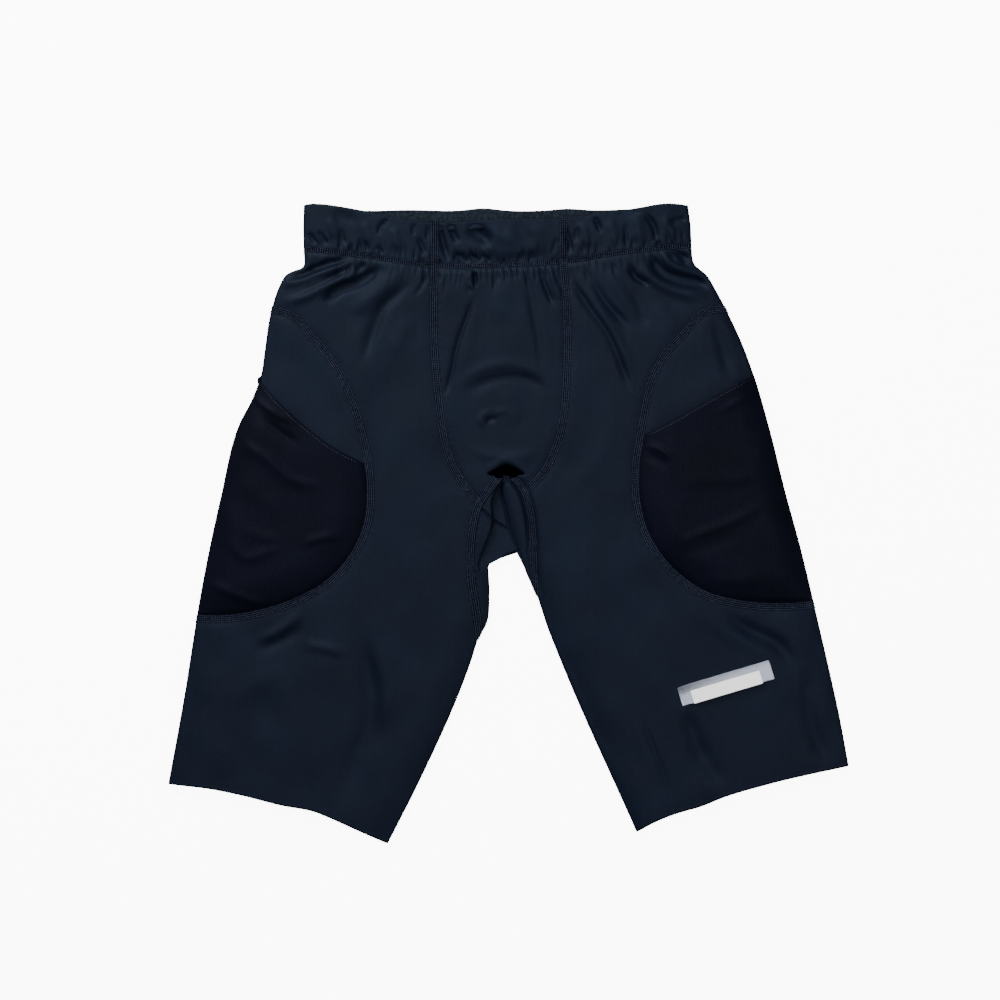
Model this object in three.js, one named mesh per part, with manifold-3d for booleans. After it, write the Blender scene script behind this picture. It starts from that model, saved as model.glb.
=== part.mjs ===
// Padded impact shorts, laid flat with the front up. Millimetres, +Z up, waistband towards +Y.
// The wearer's right leg is on the -X side and the wearer's left leg on the +X side.
// The origin is the centre of the bounding box, on the surface that the shorts lie on.
//
// A front layer lies over a back layer with room between them for the body and the legs. Each layer is
// cut into the garment's own panels, and a pocket on each hip holds a foam pad that slides out upwards.

import * as THREE from "three";
import { mergeVertices } from "three/addons/utils/BufferGeometryUtils.js";
import Module from "manifold-3d";

const wasm = await Module();
wasm.setup();

// ---- driving dimensions ------------------------------------------------------------------------------
const CLOTH = 1.6; // a panel, with the loft of its knit
const GAP = 0.3; // between two pieces that touch on the real garment
const CUT = 0.4; // width of the cut between two neighbouring panels
const ROOM = 8.4; // free height between the back layer and the front layer
const FOLD = 24; // how far in from a side the front layer reaches its full height

const BACK_TOP = CLOTH;
const FRONT_LOW = BACK_TOP + ROOM;
const FRONT_TOP = FRONT_LOW + CLOTH;
const EDGE_TOP = BACK_TOP + GAP + CLOTH; // top of the front layer where it folds round to the back

const ELASTIC = 1.3; // thickness of the waistband's elastic
const LINING = 1.1;
const STITCH = 0.5; // height of a row of stitching
const STITCH_LIFT = 0.45; // from the cloth to the stitching over it
const FLATLOCK = 5.6; // width of a flatlock seam
const COVERSTITCH = 3.2; // width of the waistband's coverstitch
const BINDING = 6; // width of the folded edge of a pocket mouth

const POCKET_CLOTH = 1.4;
const POCKET_RISE = 10; // how far in from its seam a pocket stands at full height
const POCKET_ROOM = 5.6; // room for the pad over the hip panel
const POCKET_INSET = 3.2; // from the middle of the hip seam to the pocket's edge

const PAD_RIM = 1.4; // thickness at the pad's edge
const PAD_CROWN = 1.4; // how far each face rises from the edge to its flat middle
const PAD_FLAT = 0.76; // share of the pad inside its sloping border
const PAD_LOW = FRONT_TOP + 1.1; // clears the seams that the pad slides over
const PAD_CORNER = 14;
const PAD_LEAN = THREE.MathUtils.degToRad(14.5); // lean of the slide from +Y, along the leg's side

const FILM = { length: 76, width: 15.2, thick: 0.3 };
const TAB = { length: 57, width: 10.6, thick: 0.4 };
const LABEL = { x: 173, y: -127, turn: THREE.MathUtils.degToRad(16.7) };

const CUT_LOW = -1; // every vertical cut runs from here
const CUT_HIGH = 40; // to here

// ---- outlines, x and y ---------------------------------------------------------------------------------
const CENTRE_X = -5; // centre back seam
const CROTCH = [-3, 38]; // where both inseams meet under the front panel

const waistSeam = spline([[-164, 218.9], [-112.6, 212.4], [-59.1, 205.4], [-7.6, 205.2], [43.9, 208.2],
  [92.4, 215.6], [147, 221.5]], 14);
const bandTop = spline([[-163.6, 253.7], [-112.6, 248.4], [-59.1, 241], [-7.6, 242.8], [43.9, 244.1],
  [83.8, 248.9], [128, 256], [143.8, 254.2]], 14);
const backBandTop = spline([[-163.6, 253.7], [-100, 250], [-7.6, 250.4], [76, 250.6], [128, 256],
  [143.8, 254.2]], 12);

const RIGHT = {
  word: "right",
  mirror: -1,
  bandSide: [[-163.6, 253.7], [-164, 218.9]],
  side: [[-164, 218.9], [-164.6, 205], [-183.8, 189.4], [-190, 171], [-196.4, 121.6], [-206, 98], [-216, 78],
    [-230.3, 20.8], [-249.8, -76.2], [-258.8, -133.2], [-272.4, -208.4]],
  hem: [[-272.4, -208.4], [-242, -211.4], [-183.8, -224.5], [-144.7, -234.2], [-96.4, -256]],
  inner: [[-96.4, -256], [-71.8, -207.6], [-24.1, -92.6], [-16, -70], [-15.4, -50], [-16.2, -33.1]],
  inseam: [[-24.1, -92.6], [-28.5, -67.9], [-30.6, -45.4], [-30.6, -23], [-28, -0.6], [-23.6, 17.6],
    [-14, 29], CROTCH],
  frontSeam: [[-59.1, 205.4], [-59.8, 174], [-59, 135.4], [-54.8, 90], [-43.8, 44.6], [-33, 27.8],
    [-23.6, 17.6]],
  hipSeam: [[-190, 171], [-176, 167.2], [-154.7, 146.8], [-134.3, 119.7], [-123.7, 94.5], [-114, 59.6],
    [-110.1, 30.5], [-112.1, 1.4], [-123.7, -25.8], [-143, -47], [-166.3, -60.6], [-201.2, -72.2],
    [-230.3, -76.2], [-249.8, -76.2]],
  hipTop: 171,
  hipFoot: -76.2,
  mouth: [[-199.3, 117.8], [-185.8, 100.3], [-158.6, 75], [-139.2, 60.6], [-117.8, 49.8]],
};
const LEFT = {
  word: "left",
  mirror: 1,
  bandSide: [[143.8, 254.2], [147, 221.5]],
  side: [[147, 221.5], [148.1, 208.2], [166, 186.8], [174, 171], [194.8, 121.2], [209.2, 74.8], [221.2, 26.8],
    [244.8, -65], [256.3, -114.2], [272.4, -193.8]],
  hem: [[272.4, -193.8], [245.7, -199.2], [205.8, -208.5], [150.2, -227], [134.2, -231.7], [102.4, -247]],
  inner: [[102.4, -247], [41, -108.3], [22.5, -57.8], [14.6, -41], [7.9, -20.7]],
  inseam: [[22.5, -57.8], [20.8, -28.6], [20.2, -6.2], [18, 10.6], [13.5, 25], [6, 33], CROTCH],
  frontSeam: [[43.9, 208.2], [46.2, 174.2], [47, 149], [43.7, 88], [38.6, 63], [29.4, 42.9], [13.5, 25]],
  hipSeam: [[174, 171], [158.5, 168], [139.1, 150.7], [123.6, 133.2], [114.9, 115.8], [107.6, 83],
    [101.3, 46], [102.3, 16.9], [110, -10.2], [131.4, -39.3], [156.6, -56.8], [181.8, -63.6],
    [216.7, -66.5], [244.8, -65]],
  hipTop: 171,
  hipFoot: -65,
  mouth: [[193.4, 117.8], [170, 107], [153, 95], [130, 81], [106.6, 71]],
};
const SIDES = [RIGHT, LEFT];
const SEAM_POINTS = { frontSeam: 14, hipSeam: 30, mouth: 10 };
for (const part of SIDES) {
  for (const [line, count] of Object.entries(SEAM_POINTS)) part[line] = spline(part[line], count);
}

// The pad's outline in the pocket: x across from the leg's side line, y along the slide.
const PAD_OUTLINE = [[-204, 30], [-142, 2], [-142, -58], [-162, -80], [-204, -92]];

// ---- curves --------------------------------------------------------------------------------------------
/** Points along a smooth curve through the given ones. */
function spline(points, count) {
  const curve = new THREE.SplineCurve(points.map(([x, y]) => new THREE.Vector2(x, y)));
  return curve.getPoints(count).map((p) => [p.x, p.y]);
}

/** The point of a polyline where it crosses a height, and the points before and after it. */
function splitAtHeight(line, height) {
  const at = line.findIndex((p, i) => i > 0 && (line[i - 1][1] - height) * (p[1] - height) <= 0);
  const [a, b] = [line[at - 1], line[at]];
  const share = (height - a[1]) / (b[1] - a[1]);
  const cross = [a[0] + share * (b[0] - a[0]), height];
  return { before: [...line.slice(0, at), cross], after: [cross, ...line.slice(at)] };
}

/** The same line carried straight on past both ends. */
function extended(line, by) {
  const on = ([x0, y0], [x1, y1]) => {
    const length = Math.hypot(x1 - x0, y1 - y0);
    return [x1 + (by * (x1 - x0)) / length, y1 + (by * (y1 - y0)) / length];
  };
  return [on(line[1], line[0]), ...line, on(line.at(-2), line.at(-1))];
}

/** A line moved sideways, towards the left of its direction. */
function offset(line, by) {
  return line.map((p, i) => {
    const [ax, ay] = line[Math.max(i - 1, 0)];
    const [bx, by_] = line[Math.min(i + 1, line.length - 1)];
    const length = Math.hypot(bx - ax, by_ - ay);
    return [p[0] - (by * (by_ - ay)) / length, p[1] + (by * (bx - ax)) / length];
  });
}

function distanceTo(line, x, y) {
  let least = Infinity;
  for (let i = 1; i < line.length; i++) {
    const [[ax, ay], [bx, by]] = [line[i - 1], line[i]];
    const [dx, dy] = [bx - ax, by - ay];
    const t = THREE.MathUtils.clamp(((x - ax) * dx + (y - ay) * dy) / (dx * dx + dy * dy), 0, 1);
    least = Math.min(least, Math.hypot(x - ax - t * dx, y - ay - t * dy));
  }
  return least;
}

function isInside(outline, x, y) {
  let inside = false;
  outline.forEach(([ax, ay], i) => {
    const [bx, by] = outline[(i + 1) % outline.length];
    if (ay > y !== by > y && x < ax + ((y - ay) * (bx - ax)) / (by - ay)) inside = !inside;
  });
  return inside;
}

/** A quarter of a sine from 0 to 1, then level. */
const swell = (distance, over) => Math.sin((Math.PI / 2) * THREE.MathUtils.clamp(distance / over, 0, 1));

/** Places along a row between two ends, close together near both. */
function row([ax, ay], [bx, by], shares) {
  return shares.map((s) => [ax + s * (bx - ax), ay + s * (by - ay)]);
}

// ---- solids --------------------------------------------------------------------------------------------
function solid(positions, faces) {
  const mesh = new wasm.Mesh({
    numProp: 3,
    vertProperties: new Float32Array(positions.flat()),
    triVerts: new Uint32Array(faces.flat()),
  });
  return new wasm.Manifold(mesh);
}

/** A closed slab over a grid of plan points, between two height functions. */
function slab(rows, lowAt, highAt) {
  const [nr, nc] = [rows.length, rows[0].length];
  const points = rows.flat();
  const high = points.map(([x, y]) => [x, y, highAt(x, y)]);
  const low = points.map(([x, y]) => [x, y, lowAt(x, y)]);
  const under = points.length;
  const faces = [];
  const quad = (a, b, c, d) => faces.push([a, b, c], [a, c, d]);
  const at = (r, c) => r * nc + c;
  for (let r = 0; r + 1 < nr; r++) {
    for (let c = 0; c + 1 < nc; c++) {
      const [a, b, e, d] = [at(r, c), at(r, c + 1), at(r + 1, c + 1), at(r + 1, c)];
      quad(a, d, e, b);
      quad(a + under, b + under, e + under, d + under);
    }
  }
  const rim = (a, b) => quad(a, b, b + under, a + under);
  for (let c = 0; c + 1 < nc; c++) {
    rim(at(0, c), at(0, c + 1));
    rim(at(nr - 1, c + 1), at(nr - 1, c));
  }
  for (let r = 0; r + 1 < nr; r++) {
    rim(at(r + 1, 0), at(r, 0));
    rim(at(r, nc - 1), at(r + 1, nc - 1));
  }
  const made = solid([...high, ...low], faces);
  return made.volume() > 0 ? made : solid([...high, ...low], faces.map(([a, b, c]) => [a, c, b]));
}

/** A straight-sided solid over an outline. */
function prism(outline, low, high) {
  const shape = new THREE.Shape(outline.map(([x, y]) => new THREE.Vector2(x, y)));
  const geometry = new THREE.ExtrudeGeometry(shape, { depth: high - low, bevelEnabled: false });
  return fromGeometry(geometry.translate(0, 0, low));
}

function fromGeometry(geometry) {
  geometry.deleteAttribute("normal");
  geometry.deleteAttribute("uv");
  const merged = mergeVertices(geometry, 1e-4);
  const at = merged.getAttribute("position");
  const positions = Array.from({ length: at.count }, (_, i) => [at.getX(i), at.getY(i), at.getZ(i)]);
  return solid(positions, [Array.from(merged.getIndex().array)]);
}

/** A band of even width along a line, between two height functions. */
function band(line, width, lowAt, highAt) {
  const [left, right] = [offset(line, width / 2), offset(line, -width / 2)];
  return slab(line.map((_, i) => [left[i], right[i]]), lowAt, highAt);
}

/** The upright wall that a cut along a line takes away. */
const cutAlong = (line, width = CUT) => band(extended(line, 8), width, () => CUT_LOW, () => CUT_HIGH);

/** The largest piece of a solid, without the slivers that a cut can leave. */
function largest(manifold) {
  return manifold.decompose().sort((a, b) => b.volume() - a.volume())[0];
}

// ---- heights -------------------------------------------------------------------------------------------
for (const part of SIDES) {
  const pastHem = [extended(part.side, 40).at(-1), extended(part.inner, 40)[0]];
  part.silhouette = [...part.bandSide, ...part.side.slice(1), ...pastHem, ...part.inner,
    [CENTRE_X, (RIGHT.inner.at(-1)[1] + LEFT.inner.at(-1)[1]) / 2], [CENTRE_X, 248]];
}
const gapTop = [RIGHT.inner.at(-1), LEFT.inner.at(-1)];
const folds = [...SIDES.flatMap((part) => [part.bandSide, part.side, part.inner]), gapTop];

/** Top of the front layer: low where it folds round at the sides and inner legs, level between them. */
function frontTop(x, y) {
  if (!SIDES.some((part) => isInside(part.silhouette, x, y))) return EDGE_TOP;
  const distance = Math.min(...folds.map((line) => distanceTo(line, x, y)));
  return EDGE_TOP + (FRONT_TOP - EDGE_TOP) * swell(distance, FOLD);
}
const frontLow = (x, y) => frontTop(x, y) - CLOTH;

/** Underside of a pocket: near the hip panel at its seam, and with room for the pad inside. */
function pocketLow(part, x, y) {
  const fromSeam = Math.max(distanceTo(part.hipSeam, x, y) - POCKET_INSET, 0);
  const fromSide = isInside(part.silhouette, x, y) ? distanceTo(part.side, x, y) : 0;
  const room = POCKET_ROOM * swell(fromSeam, POCKET_RISE) * swell(fromSide, FOLD * 0.75);
  return frontTop(x, y) + GAP + room;
}

// ---- front layer ---------------------------------------------------------------------------------------
const ACROSS = [-0.02, 0.001, 0.035, 0.075, 0.12, 0.3, 0.62, 0.86, 0.92, 0.97, 0.999, 1.03];

/** The whole front layer of one side, wider than the garment, ready to be cut into panels. */
function frontSheet(part) {
  const s = part.mirror;
  const outside = [[160, 228], [157, 206], [186, 180], [195, 130], [206, 92], [220, 45], [233, -5],
    [243, -50], [252, -92], [262, -150], [272, -205], [277, -222]];
  const inside = [[0, 228], [0, 200], [0, 160], [0, 120], [0, 80], [0, 45], [0, 5], [12, -38], [23, -80],
    [48, -140], [76, -205], [103, -266]];
  const rows = outside.map(([x, y], i) => row([s * x, y], [s * inside[i][0], inside[i][1]], ACROSS));
  return slab(rows, frontLow, frontTop);
}

/** The outline of everything between the side line and the hip seam. */
const hipOutline = (part) => {
  const { after } = splitAtHeight(part.side, part.hipTop);
  const { before } = splitAtHeight(after.slice(1), part.hipFoot);
  return [...part.hipSeam, ...before.reverse()];
};

const legOutline = (part) => [
  ...part.side, ...part.hem.slice(1), ...part.inner.filter(([, y]) => y <= part.inseam[0][1]).slice(1),
  ...part.inseam.slice(1, -3), ...[...part.frontSeam].reverse(),
  ...waistSeam.filter(([x]) => part.mirror * (x - part.frontSeam[0][0]) > 1 && Math.abs(x) < 145)
    .sort((a, b) => part.mirror * (a[0] - b[0])),
];

const seamCuts = [...SIDES.flatMap((part) => [part.frontSeam, part.hipSeam, part.inseam]), waistSeam];
const cuts = seamCuts.slice(1).reduce((all, line) => all.add(cutAlong(line)), cutAlong(seamCuts[0]));

const legPanelFront = (part) =>
  largest(frontSheet(part).intersect(prism(legOutline(part), CUT_LOW, CUT_HIGH)).subtract(cuts));
const hipPanelFront = (part) =>
  largest(frontSheet(part).intersect(prism(hipOutline(part), CUT_LOW, CUT_HIGH)).subtract(cuts));

const frontPanelOutline = [
  ...waistSeam.filter(([x]) => x > -58 && x < 43),
  ...LEFT.frontSeam, ...LEFT.inseam.slice(-2), RIGHT.inseam.at(-2), ...[...RIGHT.frontSeam].reverse(),
];
const frontPanel = () => largest(prism(frontPanelOutline, FRONT_LOW, FRONT_TOP).subtract(cuts));

/** The pouch lining behind the front panel, a hand's width narrower at the top. */
function frontPanelLining() {
  const outline = [[-54, 198], [38, 200], [40, 150], [36, 92], [24, 56], [-2, 48], [-34, 56], [-48, 92],
    [-54, 150]];
  return prism(outline, FRONT_LOW - GAP - LINING, FRONT_LOW - GAP);
}

/** The saddle of cloth between the legs, with the strips that turn up round both inner legs. */
function crotchGusset() {
  const outline = [...RIGHT.inseam, ...[...LEFT.inseam].reverse().slice(1),
    ...LEFT.inner.filter(([, y]) => y > LEFT.inseam[0][1]), ...[...RIGHT.inner].reverse()
      .filter(([, y]) => y > RIGHT.inseam[0][1])];
  const valley = (x) => 4.9 + (FRONT_TOP - 4.9) * swell(Math.abs(x + 3) - 3, 15);
  const top = (x, y) => Math.min(frontTop(x, y), valley(x));
  const across = [-36, -29, -23, -18, -13, -8, -3, 2, 7, 12, 17, 22, 28];
  const along = [46, 30, 16, 2, -12, -24, -34, -48, -62, -78, -98];
  const rows = along.map((y) => across.map((x) => [x, y]));
  const sheet = slab(rows, (x, y) => top(x, y) - CLOTH, top);
  return largest(sheet.intersect(prism(outline, CUT_LOW, CUT_HIGH)).subtract(cuts));
}

// ---- pockets and pads ----------------------------------------------------------------------------------
/** The raised sheet of one pocket, wider than the pocket, before its mouth and seam are cut. */
function pocketSheet(part) {
  const s = part.mirror;
  const outside = [[190, 132], [201, 106], [215, 80], [224, 50], [231, 20], [238, -15], [244, -46],
    [248, -62], [250, -72], [250, -80]];
  const inside = [[98, 76], [98, 48], [99, 30], [100, 10], [107, -12], [120, -34], [140, -52], [164, -64],
    [196, -74], [215, -82]];
  const shares = [-0.03, 0.001, 0.04, 0.08, 0.13, 0.2, 0.5, 0.8, 0.86, 0.91, 0.955, 1.01];
  const rows = outside.map(([x, y], i) => row([s * x, y], [s * inside[i][0], inside[i][1]], shares));
  const low = (x, y) => pocketLow(part, x, y);
  return slab(rows, low, (x, y) => low(x, y) + POCKET_CLOTH);
}

function pocketFront(part) {
  const foot = part.hipSeam.findIndex(([, y]) => y < 45);
  const outline = [...extended(part.mouth, 12), ...part.hipSeam.slice(foot),
    ...hipOutline(part).slice(part.hipSeam.length + 1).filter(([, y]) => y < 116)];
  const edge = cutAlong(part.hipSeam, 2 * POCKET_INSET);
  const under = frontSheet(part).translate([0, 0, GAP / 2]);
  const cut = pocketSheet(part).intersect(prism(outline, CUT_LOW, CUT_HIGH));
  return largest(cut.subtract(edge).subtract(under));
}

/** The folded edge along a pocket's mouth, laid over the pocket's own edge. */
function mouthBinding(part) {
  const inwards = offset(part.mouth, part.mirror * (BINDING / 2 + 0.4));
  const middle = inwards.slice(1, -1);
  const low = (x, y) => pocketLow(part, x, y) + POCKET_CLOTH;
  const strip = band(middle, BINDING, low, (x, y) => low(x, y) + STITCH_LIFT + STITCH);
  return largest(strip.subtract(pocketSheet(part).translate([0, 0, GAP / 2])));
}

/** A thin foam pad with rounded corners that thins towards its edge. */
function hipPad(part) {
  const corners = PAD_OUTLINE.map(([x, y]) => new THREE.Vector2(-part.mirror * x, y));
  const shape = new THREE.Shape();
  corners.forEach((corner, i) => {
    const before = corners.at(i - 1);
    const after = corners[(i + 1) % corners.length];
    const start = before.clone().sub(corner).setLength(PAD_CORNER).add(corner);
    const end = after.clone().sub(corner).setLength(PAD_CORNER).add(corner);
    if (i === 0) shape.moveTo(start.x, start.y);
    else shape.lineTo(start.x, start.y);
    shape.quadraticCurveTo(corner.x, corner.y, end.x, end.y);
  });
  const outline = shape.getPoints(4).map((p) => [p.x, p.y]);
  const middle = [0, 1].map((k) => outline.reduce((sum, p) => sum + p[k], 0) / outline.length);
  const inset = outline.map((p) => p.map((v, k) => middle[k] + (v - middle[k]) * PAD_FLAT));
  const rim = prism(outline, PAD_CROWN, PAD_CROWN + PAD_RIM);
  return wasm.Manifold.hull([rim, prism(inset, 0, 2 * PAD_CROWN + PAD_RIM)]);
}

// ---- back layer ----------------------------------------------------------------------------------------
const SEAM_GROOVE = 4.4; // between two back panels, where their seam's thread lies
const centreBack = [[CENTRE_X, 212], [CENTRE_X, 150], [CENTRE_X, 80], [CENTRE_X, 20], [CENTRE_X, -27]];
const sunk = { low: () => 0.3, high: () => 1.3 }; // thread in a groove of the back layer

function legPanelBack(part) {
  const outline = [...part.side, ...part.hem.slice(1), ...part.inner.slice(1),
    centreBack.at(-1), centreBack[0],
    ...waistSeam.filter(([x]) => part.mirror * (x - CENTRE_X) > 1 && Math.abs(x) < 145)
      .sort((a, b) => part.mirror * (a[0] - b[0]))];
  const plate = prism(outline, 0, BACK_TOP).subtract(prism(hipOutline(part), CUT_LOW, CUT_HIGH));
  const grooves = cutAlong(part.hipSeam, SEAM_GROOVE).add(cutAlong(centreBack, SEAM_GROOVE));
  return largest(plate.subtract(grooves).subtract(cutAlong(waistSeam, SEAM_GROOVE)));
}

const backHip = (part, low, high) =>
  prism(hipOutline(part), low, high).subtract(cutAlong(part.hipSeam, SEAM_GROOVE));
const hipPanelBack = (part) => largest(backHip(part, 0.9, BACK_TOP));

/** The mesh of the pocket carried round to the back, up to a mouth that goes on rising. */
function pocketBack(part) {
  const s = part.mirror;
  const above = [[230, 112], [196, 120], [150, 160], [150, 200], [230, 200]].map(([x, y]) => [s * x, y]);
  return largest(backHip(part, 0, 0.6).subtract(prism(above, CUT_LOW, CUT_HIGH)));
}

// ---- waistband -----------------------------------------------------------------------------------------
const BAND_CUTS = [RIGHT.frontSeam[0][0], LEFT.frontSeam[0][0]];
const bandOutline = [...bandTop, ...[...waistSeam].reverse()];
const bandCut = (x) => cutAlong([[x, 270], [x, 235], [x, 190]]);

/** One of the three lengths of the waistband's front. */
function waistbandFront(from, to) {
  const across = [-171, -163.5, -158, -151, -144, -139, -100, 0, 90, 119, 124, 131, 138, 143.7, 152];
  const rows = [262, 190].map((y) => across.map((x) => [x + (x > 100 ? (235 - y) * 0.09 : 0), y]));
  const sheet = slab(rows, (x) => frontLow(x, 235), (x) => frontTop(x, 235));
  const window = prism([[from, 180], [to, 180], [to, 280], [from, 280]], CUT_LOW, CUT_HIGH);
  const cut = BAND_CUTS.reduce((all, x) => all.subtract(bandCut(x)), sheet.intersect(window).subtract(cuts));
  return largest(cut.intersect(prism(bandOutline, CUT_LOW, CUT_HIGH)));
}

const isFlatOfBand = ([x]) => x > RIGHT.bandSide[0][0] + FOLD && x < LEFT.bandSide[0][0] - FOLD;
const elasticOutline = (top) => [
  ...top.filter(isFlatOfBand).map(([x, y]) => [x, y - 1.5]),
  ...waistSeam.filter(isFlatOfBand).map(([x, y]) => [x, y + 2.5]).reverse(),
];
const waistbandBack = () => {
  const outline = [...backBandTop, ...[...waistSeam].reverse()];
  return largest(prism(outline, 0, BACK_TOP).subtract(cutAlong(waistSeam, SEAM_GROOVE)));
};

// ---- stitching -----------------------------------------------------------------------------------------
const onFront = {
  low: (x, y) => frontTop(x, y) + STITCH_LIFT,
  high: (x, y) => frontTop(x, y) + STITCH_LIFT + STITCH,
};
const stitchOnFront = (line, width) => band(line, width, onFront.low, onFront.high);
const stitchOnBack = (line, width) => band(line, width, sunk.low, sunk.high);
/** A line without the given length at each end. */
function shortened(line, first, last) {
  const curve = new THREE.SplineCurve(line.map(([x, y]) => new THREE.Vector2(x, y)));
  const length = curve.getLength();
  const count = 30;
  return Array.from({ length: count + 1 }, (_, i) => {
    const p = curve.getPointAt((first + ((length - first - last) * i) / count) / length);
    return [p.x, p.y];
  });
}

// ---- finishes ------------------------------------------------------------------------------------------
const finish = (color, roughness, metalness = 0) =>
  new THREE.MeshStandardMaterial({ color, roughness, metalness });
const NAVY_KNIT = finish(0x1b2433, 0.7);
const POCKET_MESH = finish(0x14141f, 0.9);
const BRUSHED_ELASTIC = finish(0x232a38, 0.95);
const THREAD = finish(0x2e3a4e, 0.6);
const CLEAR_FILM = finish(0x9aa2b4, 0.15);
const WHITE_TAB = finish(0xeeeff3, 0.5);
const FOAM = finish(0x2a2d33, 0.85);

// ---- the shorts ----------------------------------------------------------------------------------------
const shorts = new THREE.Group();

function add(name, manifold, material, parent = shorts) {
  const { vertProperties, triVerts } = manifold.getMesh();
  const geometry = new THREE.BufferGeometry();
  geometry.setAttribute("position", new THREE.BufferAttribute(new Float32Array(vertProperties), 3));
  geometry.setIndex(new THREE.BufferAttribute(new Uint32Array(triVerts), 1));
  geometry.computeVertexNormals();
  const mesh = new THREE.Mesh(geometry, material);
  mesh.name = name;
  parent.add(mesh);
  return mesh;
}

add("waistband_front_right", waistbandFront(-180, BAND_CUTS[0]), NAVY_KNIT);
add("waistband_front_center", waistbandFront(...BAND_CUTS), NAVY_KNIT);
add("waistband_front_left", waistbandFront(BAND_CUTS[1], 165), NAVY_KNIT);
add("waistband_back", waistbandBack(), NAVY_KNIT);
const elastic = (top, low) => prism(elasticOutline(top), low, low + ELASTIC);
add("waistband_elastic_front", elastic(bandTop, FRONT_LOW - GAP - ELASTIC), BRUSHED_ELASTIC);
add("waistband_elastic_back", elastic(backBandTop, BACK_TOP + GAP), BRUSHED_ELASTIC);
add("waistband_coverstitch_front", stitchOnFront(shortened(waistSeam, 8, 8), COVERSTITCH), THREAD);
add("waistband_coverstitch_back", stitchOnBack(shortened(waistSeam, 2, 2), COVERSTITCH), THREAD);

add("front_panel", frontPanel(), NAVY_KNIT);
add("front_panel_lining", frontPanelLining(), NAVY_KNIT);
add("crotch_gusset", crotchGusset(), NAVY_KNIT);
add("center_back_seam", stitchOnBack(shortened(centreBack, 10, 4), COVERSTITCH), THREAD);

for (const part of SIDES) {
  const { word, mirror } = part;
  add(`leg_panel_front_${word}`, legPanelFront(part), NAVY_KNIT);
  add(`leg_panel_back_${word}`, legPanelBack(part), NAVY_KNIT);
  add(`hip_panel_front_${word}`, hipPanelFront(part), NAVY_KNIT);
  add(`hip_panel_back_${word}`, hipPanelBack(part), NAVY_KNIT);
  add(`pocket_front_${word}`, pocketFront(part), POCKET_MESH);
  add(`pocket_back_${word}`, pocketBack(part), POCKET_MESH);
  add(`pocket_mouth_binding_${word}`, mouthBinding(part), POCKET_MESH);
  add(`front_seam_${word}`, stitchOnFront(shortened(part.frontSeam, 3, 6), FLATLOCK), THREAD);
  add(`hip_seam_front_${word}`, stitchOnFront(shortened(part.hipSeam, 8, 8), FLATLOCK), THREAD);
  add(`hip_seam_back_${word}`, stitchOnBack(shortened(part.hipSeam, 2, 2), COVERSTITCH), THREAD);
  add(`inseam_${word}`, stitchOnFront(shortened(part.inseam, 22, 12), FLATLOCK), THREAD);

  const pad = add(`hip_pad_${word}`, hipPad(part), FOAM);
  pad.position.z = PAD_LOW;
  pad.rotation.z = mirror * PAD_LEAN;
}

const label = new THREE.Group();
label.position.set(LABEL.x, LABEL.y, FRONT_TOP + GAP);
label.rotation.z = LABEL.turn;
shorts.add(label);
const plate = ({ length, width, thick }, low) =>
  fromGeometry(new THREE.BoxGeometry(length, width, thick).translate(0, 0, low + thick / 2));
add("label_film", plate(FILM, 0), CLEAR_FILM, label);
add("label_tab", plate(TAB, FILM.thick + GAP), WHITE_TAB, label);

export default shorts;
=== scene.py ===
import logging
import math
from dataclasses import dataclass, field
from enum import Enum
from functools import lru_cache
from typing import Callable, Iterable, Sequence

import bpy
import numpy as np
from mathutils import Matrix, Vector
from mathutils.geometry import delaunay_2d_cdt

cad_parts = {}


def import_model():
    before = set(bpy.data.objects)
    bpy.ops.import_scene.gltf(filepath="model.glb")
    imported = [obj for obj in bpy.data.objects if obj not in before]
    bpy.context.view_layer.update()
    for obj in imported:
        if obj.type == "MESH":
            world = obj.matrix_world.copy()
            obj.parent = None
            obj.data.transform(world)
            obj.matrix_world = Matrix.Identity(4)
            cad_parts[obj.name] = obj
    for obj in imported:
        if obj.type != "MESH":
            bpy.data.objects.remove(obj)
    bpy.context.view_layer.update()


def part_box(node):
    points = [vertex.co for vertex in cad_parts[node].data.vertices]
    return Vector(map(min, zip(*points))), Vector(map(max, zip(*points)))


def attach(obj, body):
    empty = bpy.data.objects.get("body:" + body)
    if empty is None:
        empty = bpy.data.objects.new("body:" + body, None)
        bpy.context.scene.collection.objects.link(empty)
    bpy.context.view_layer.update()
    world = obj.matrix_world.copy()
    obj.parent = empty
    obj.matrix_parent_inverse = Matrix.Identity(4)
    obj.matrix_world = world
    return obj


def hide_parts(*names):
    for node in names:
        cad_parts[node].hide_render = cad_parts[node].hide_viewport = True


# Padded impact shorts, laid flat with the front up. Pattern lengths are in millimetres, and become metres
# only when a mesh is made. The wearer's right leg is on the -X side.

logging.basicConfig(level=logging.INFO, format="%(message)s")
LOG = logging.getLogger("shorts")

MM = 0.001
SHORTS = "shorts"

Points = np.ndarray
Placement = Callable[[Points], Points]


# ---- lines ------------------------------------------------------------------------------------------

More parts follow.
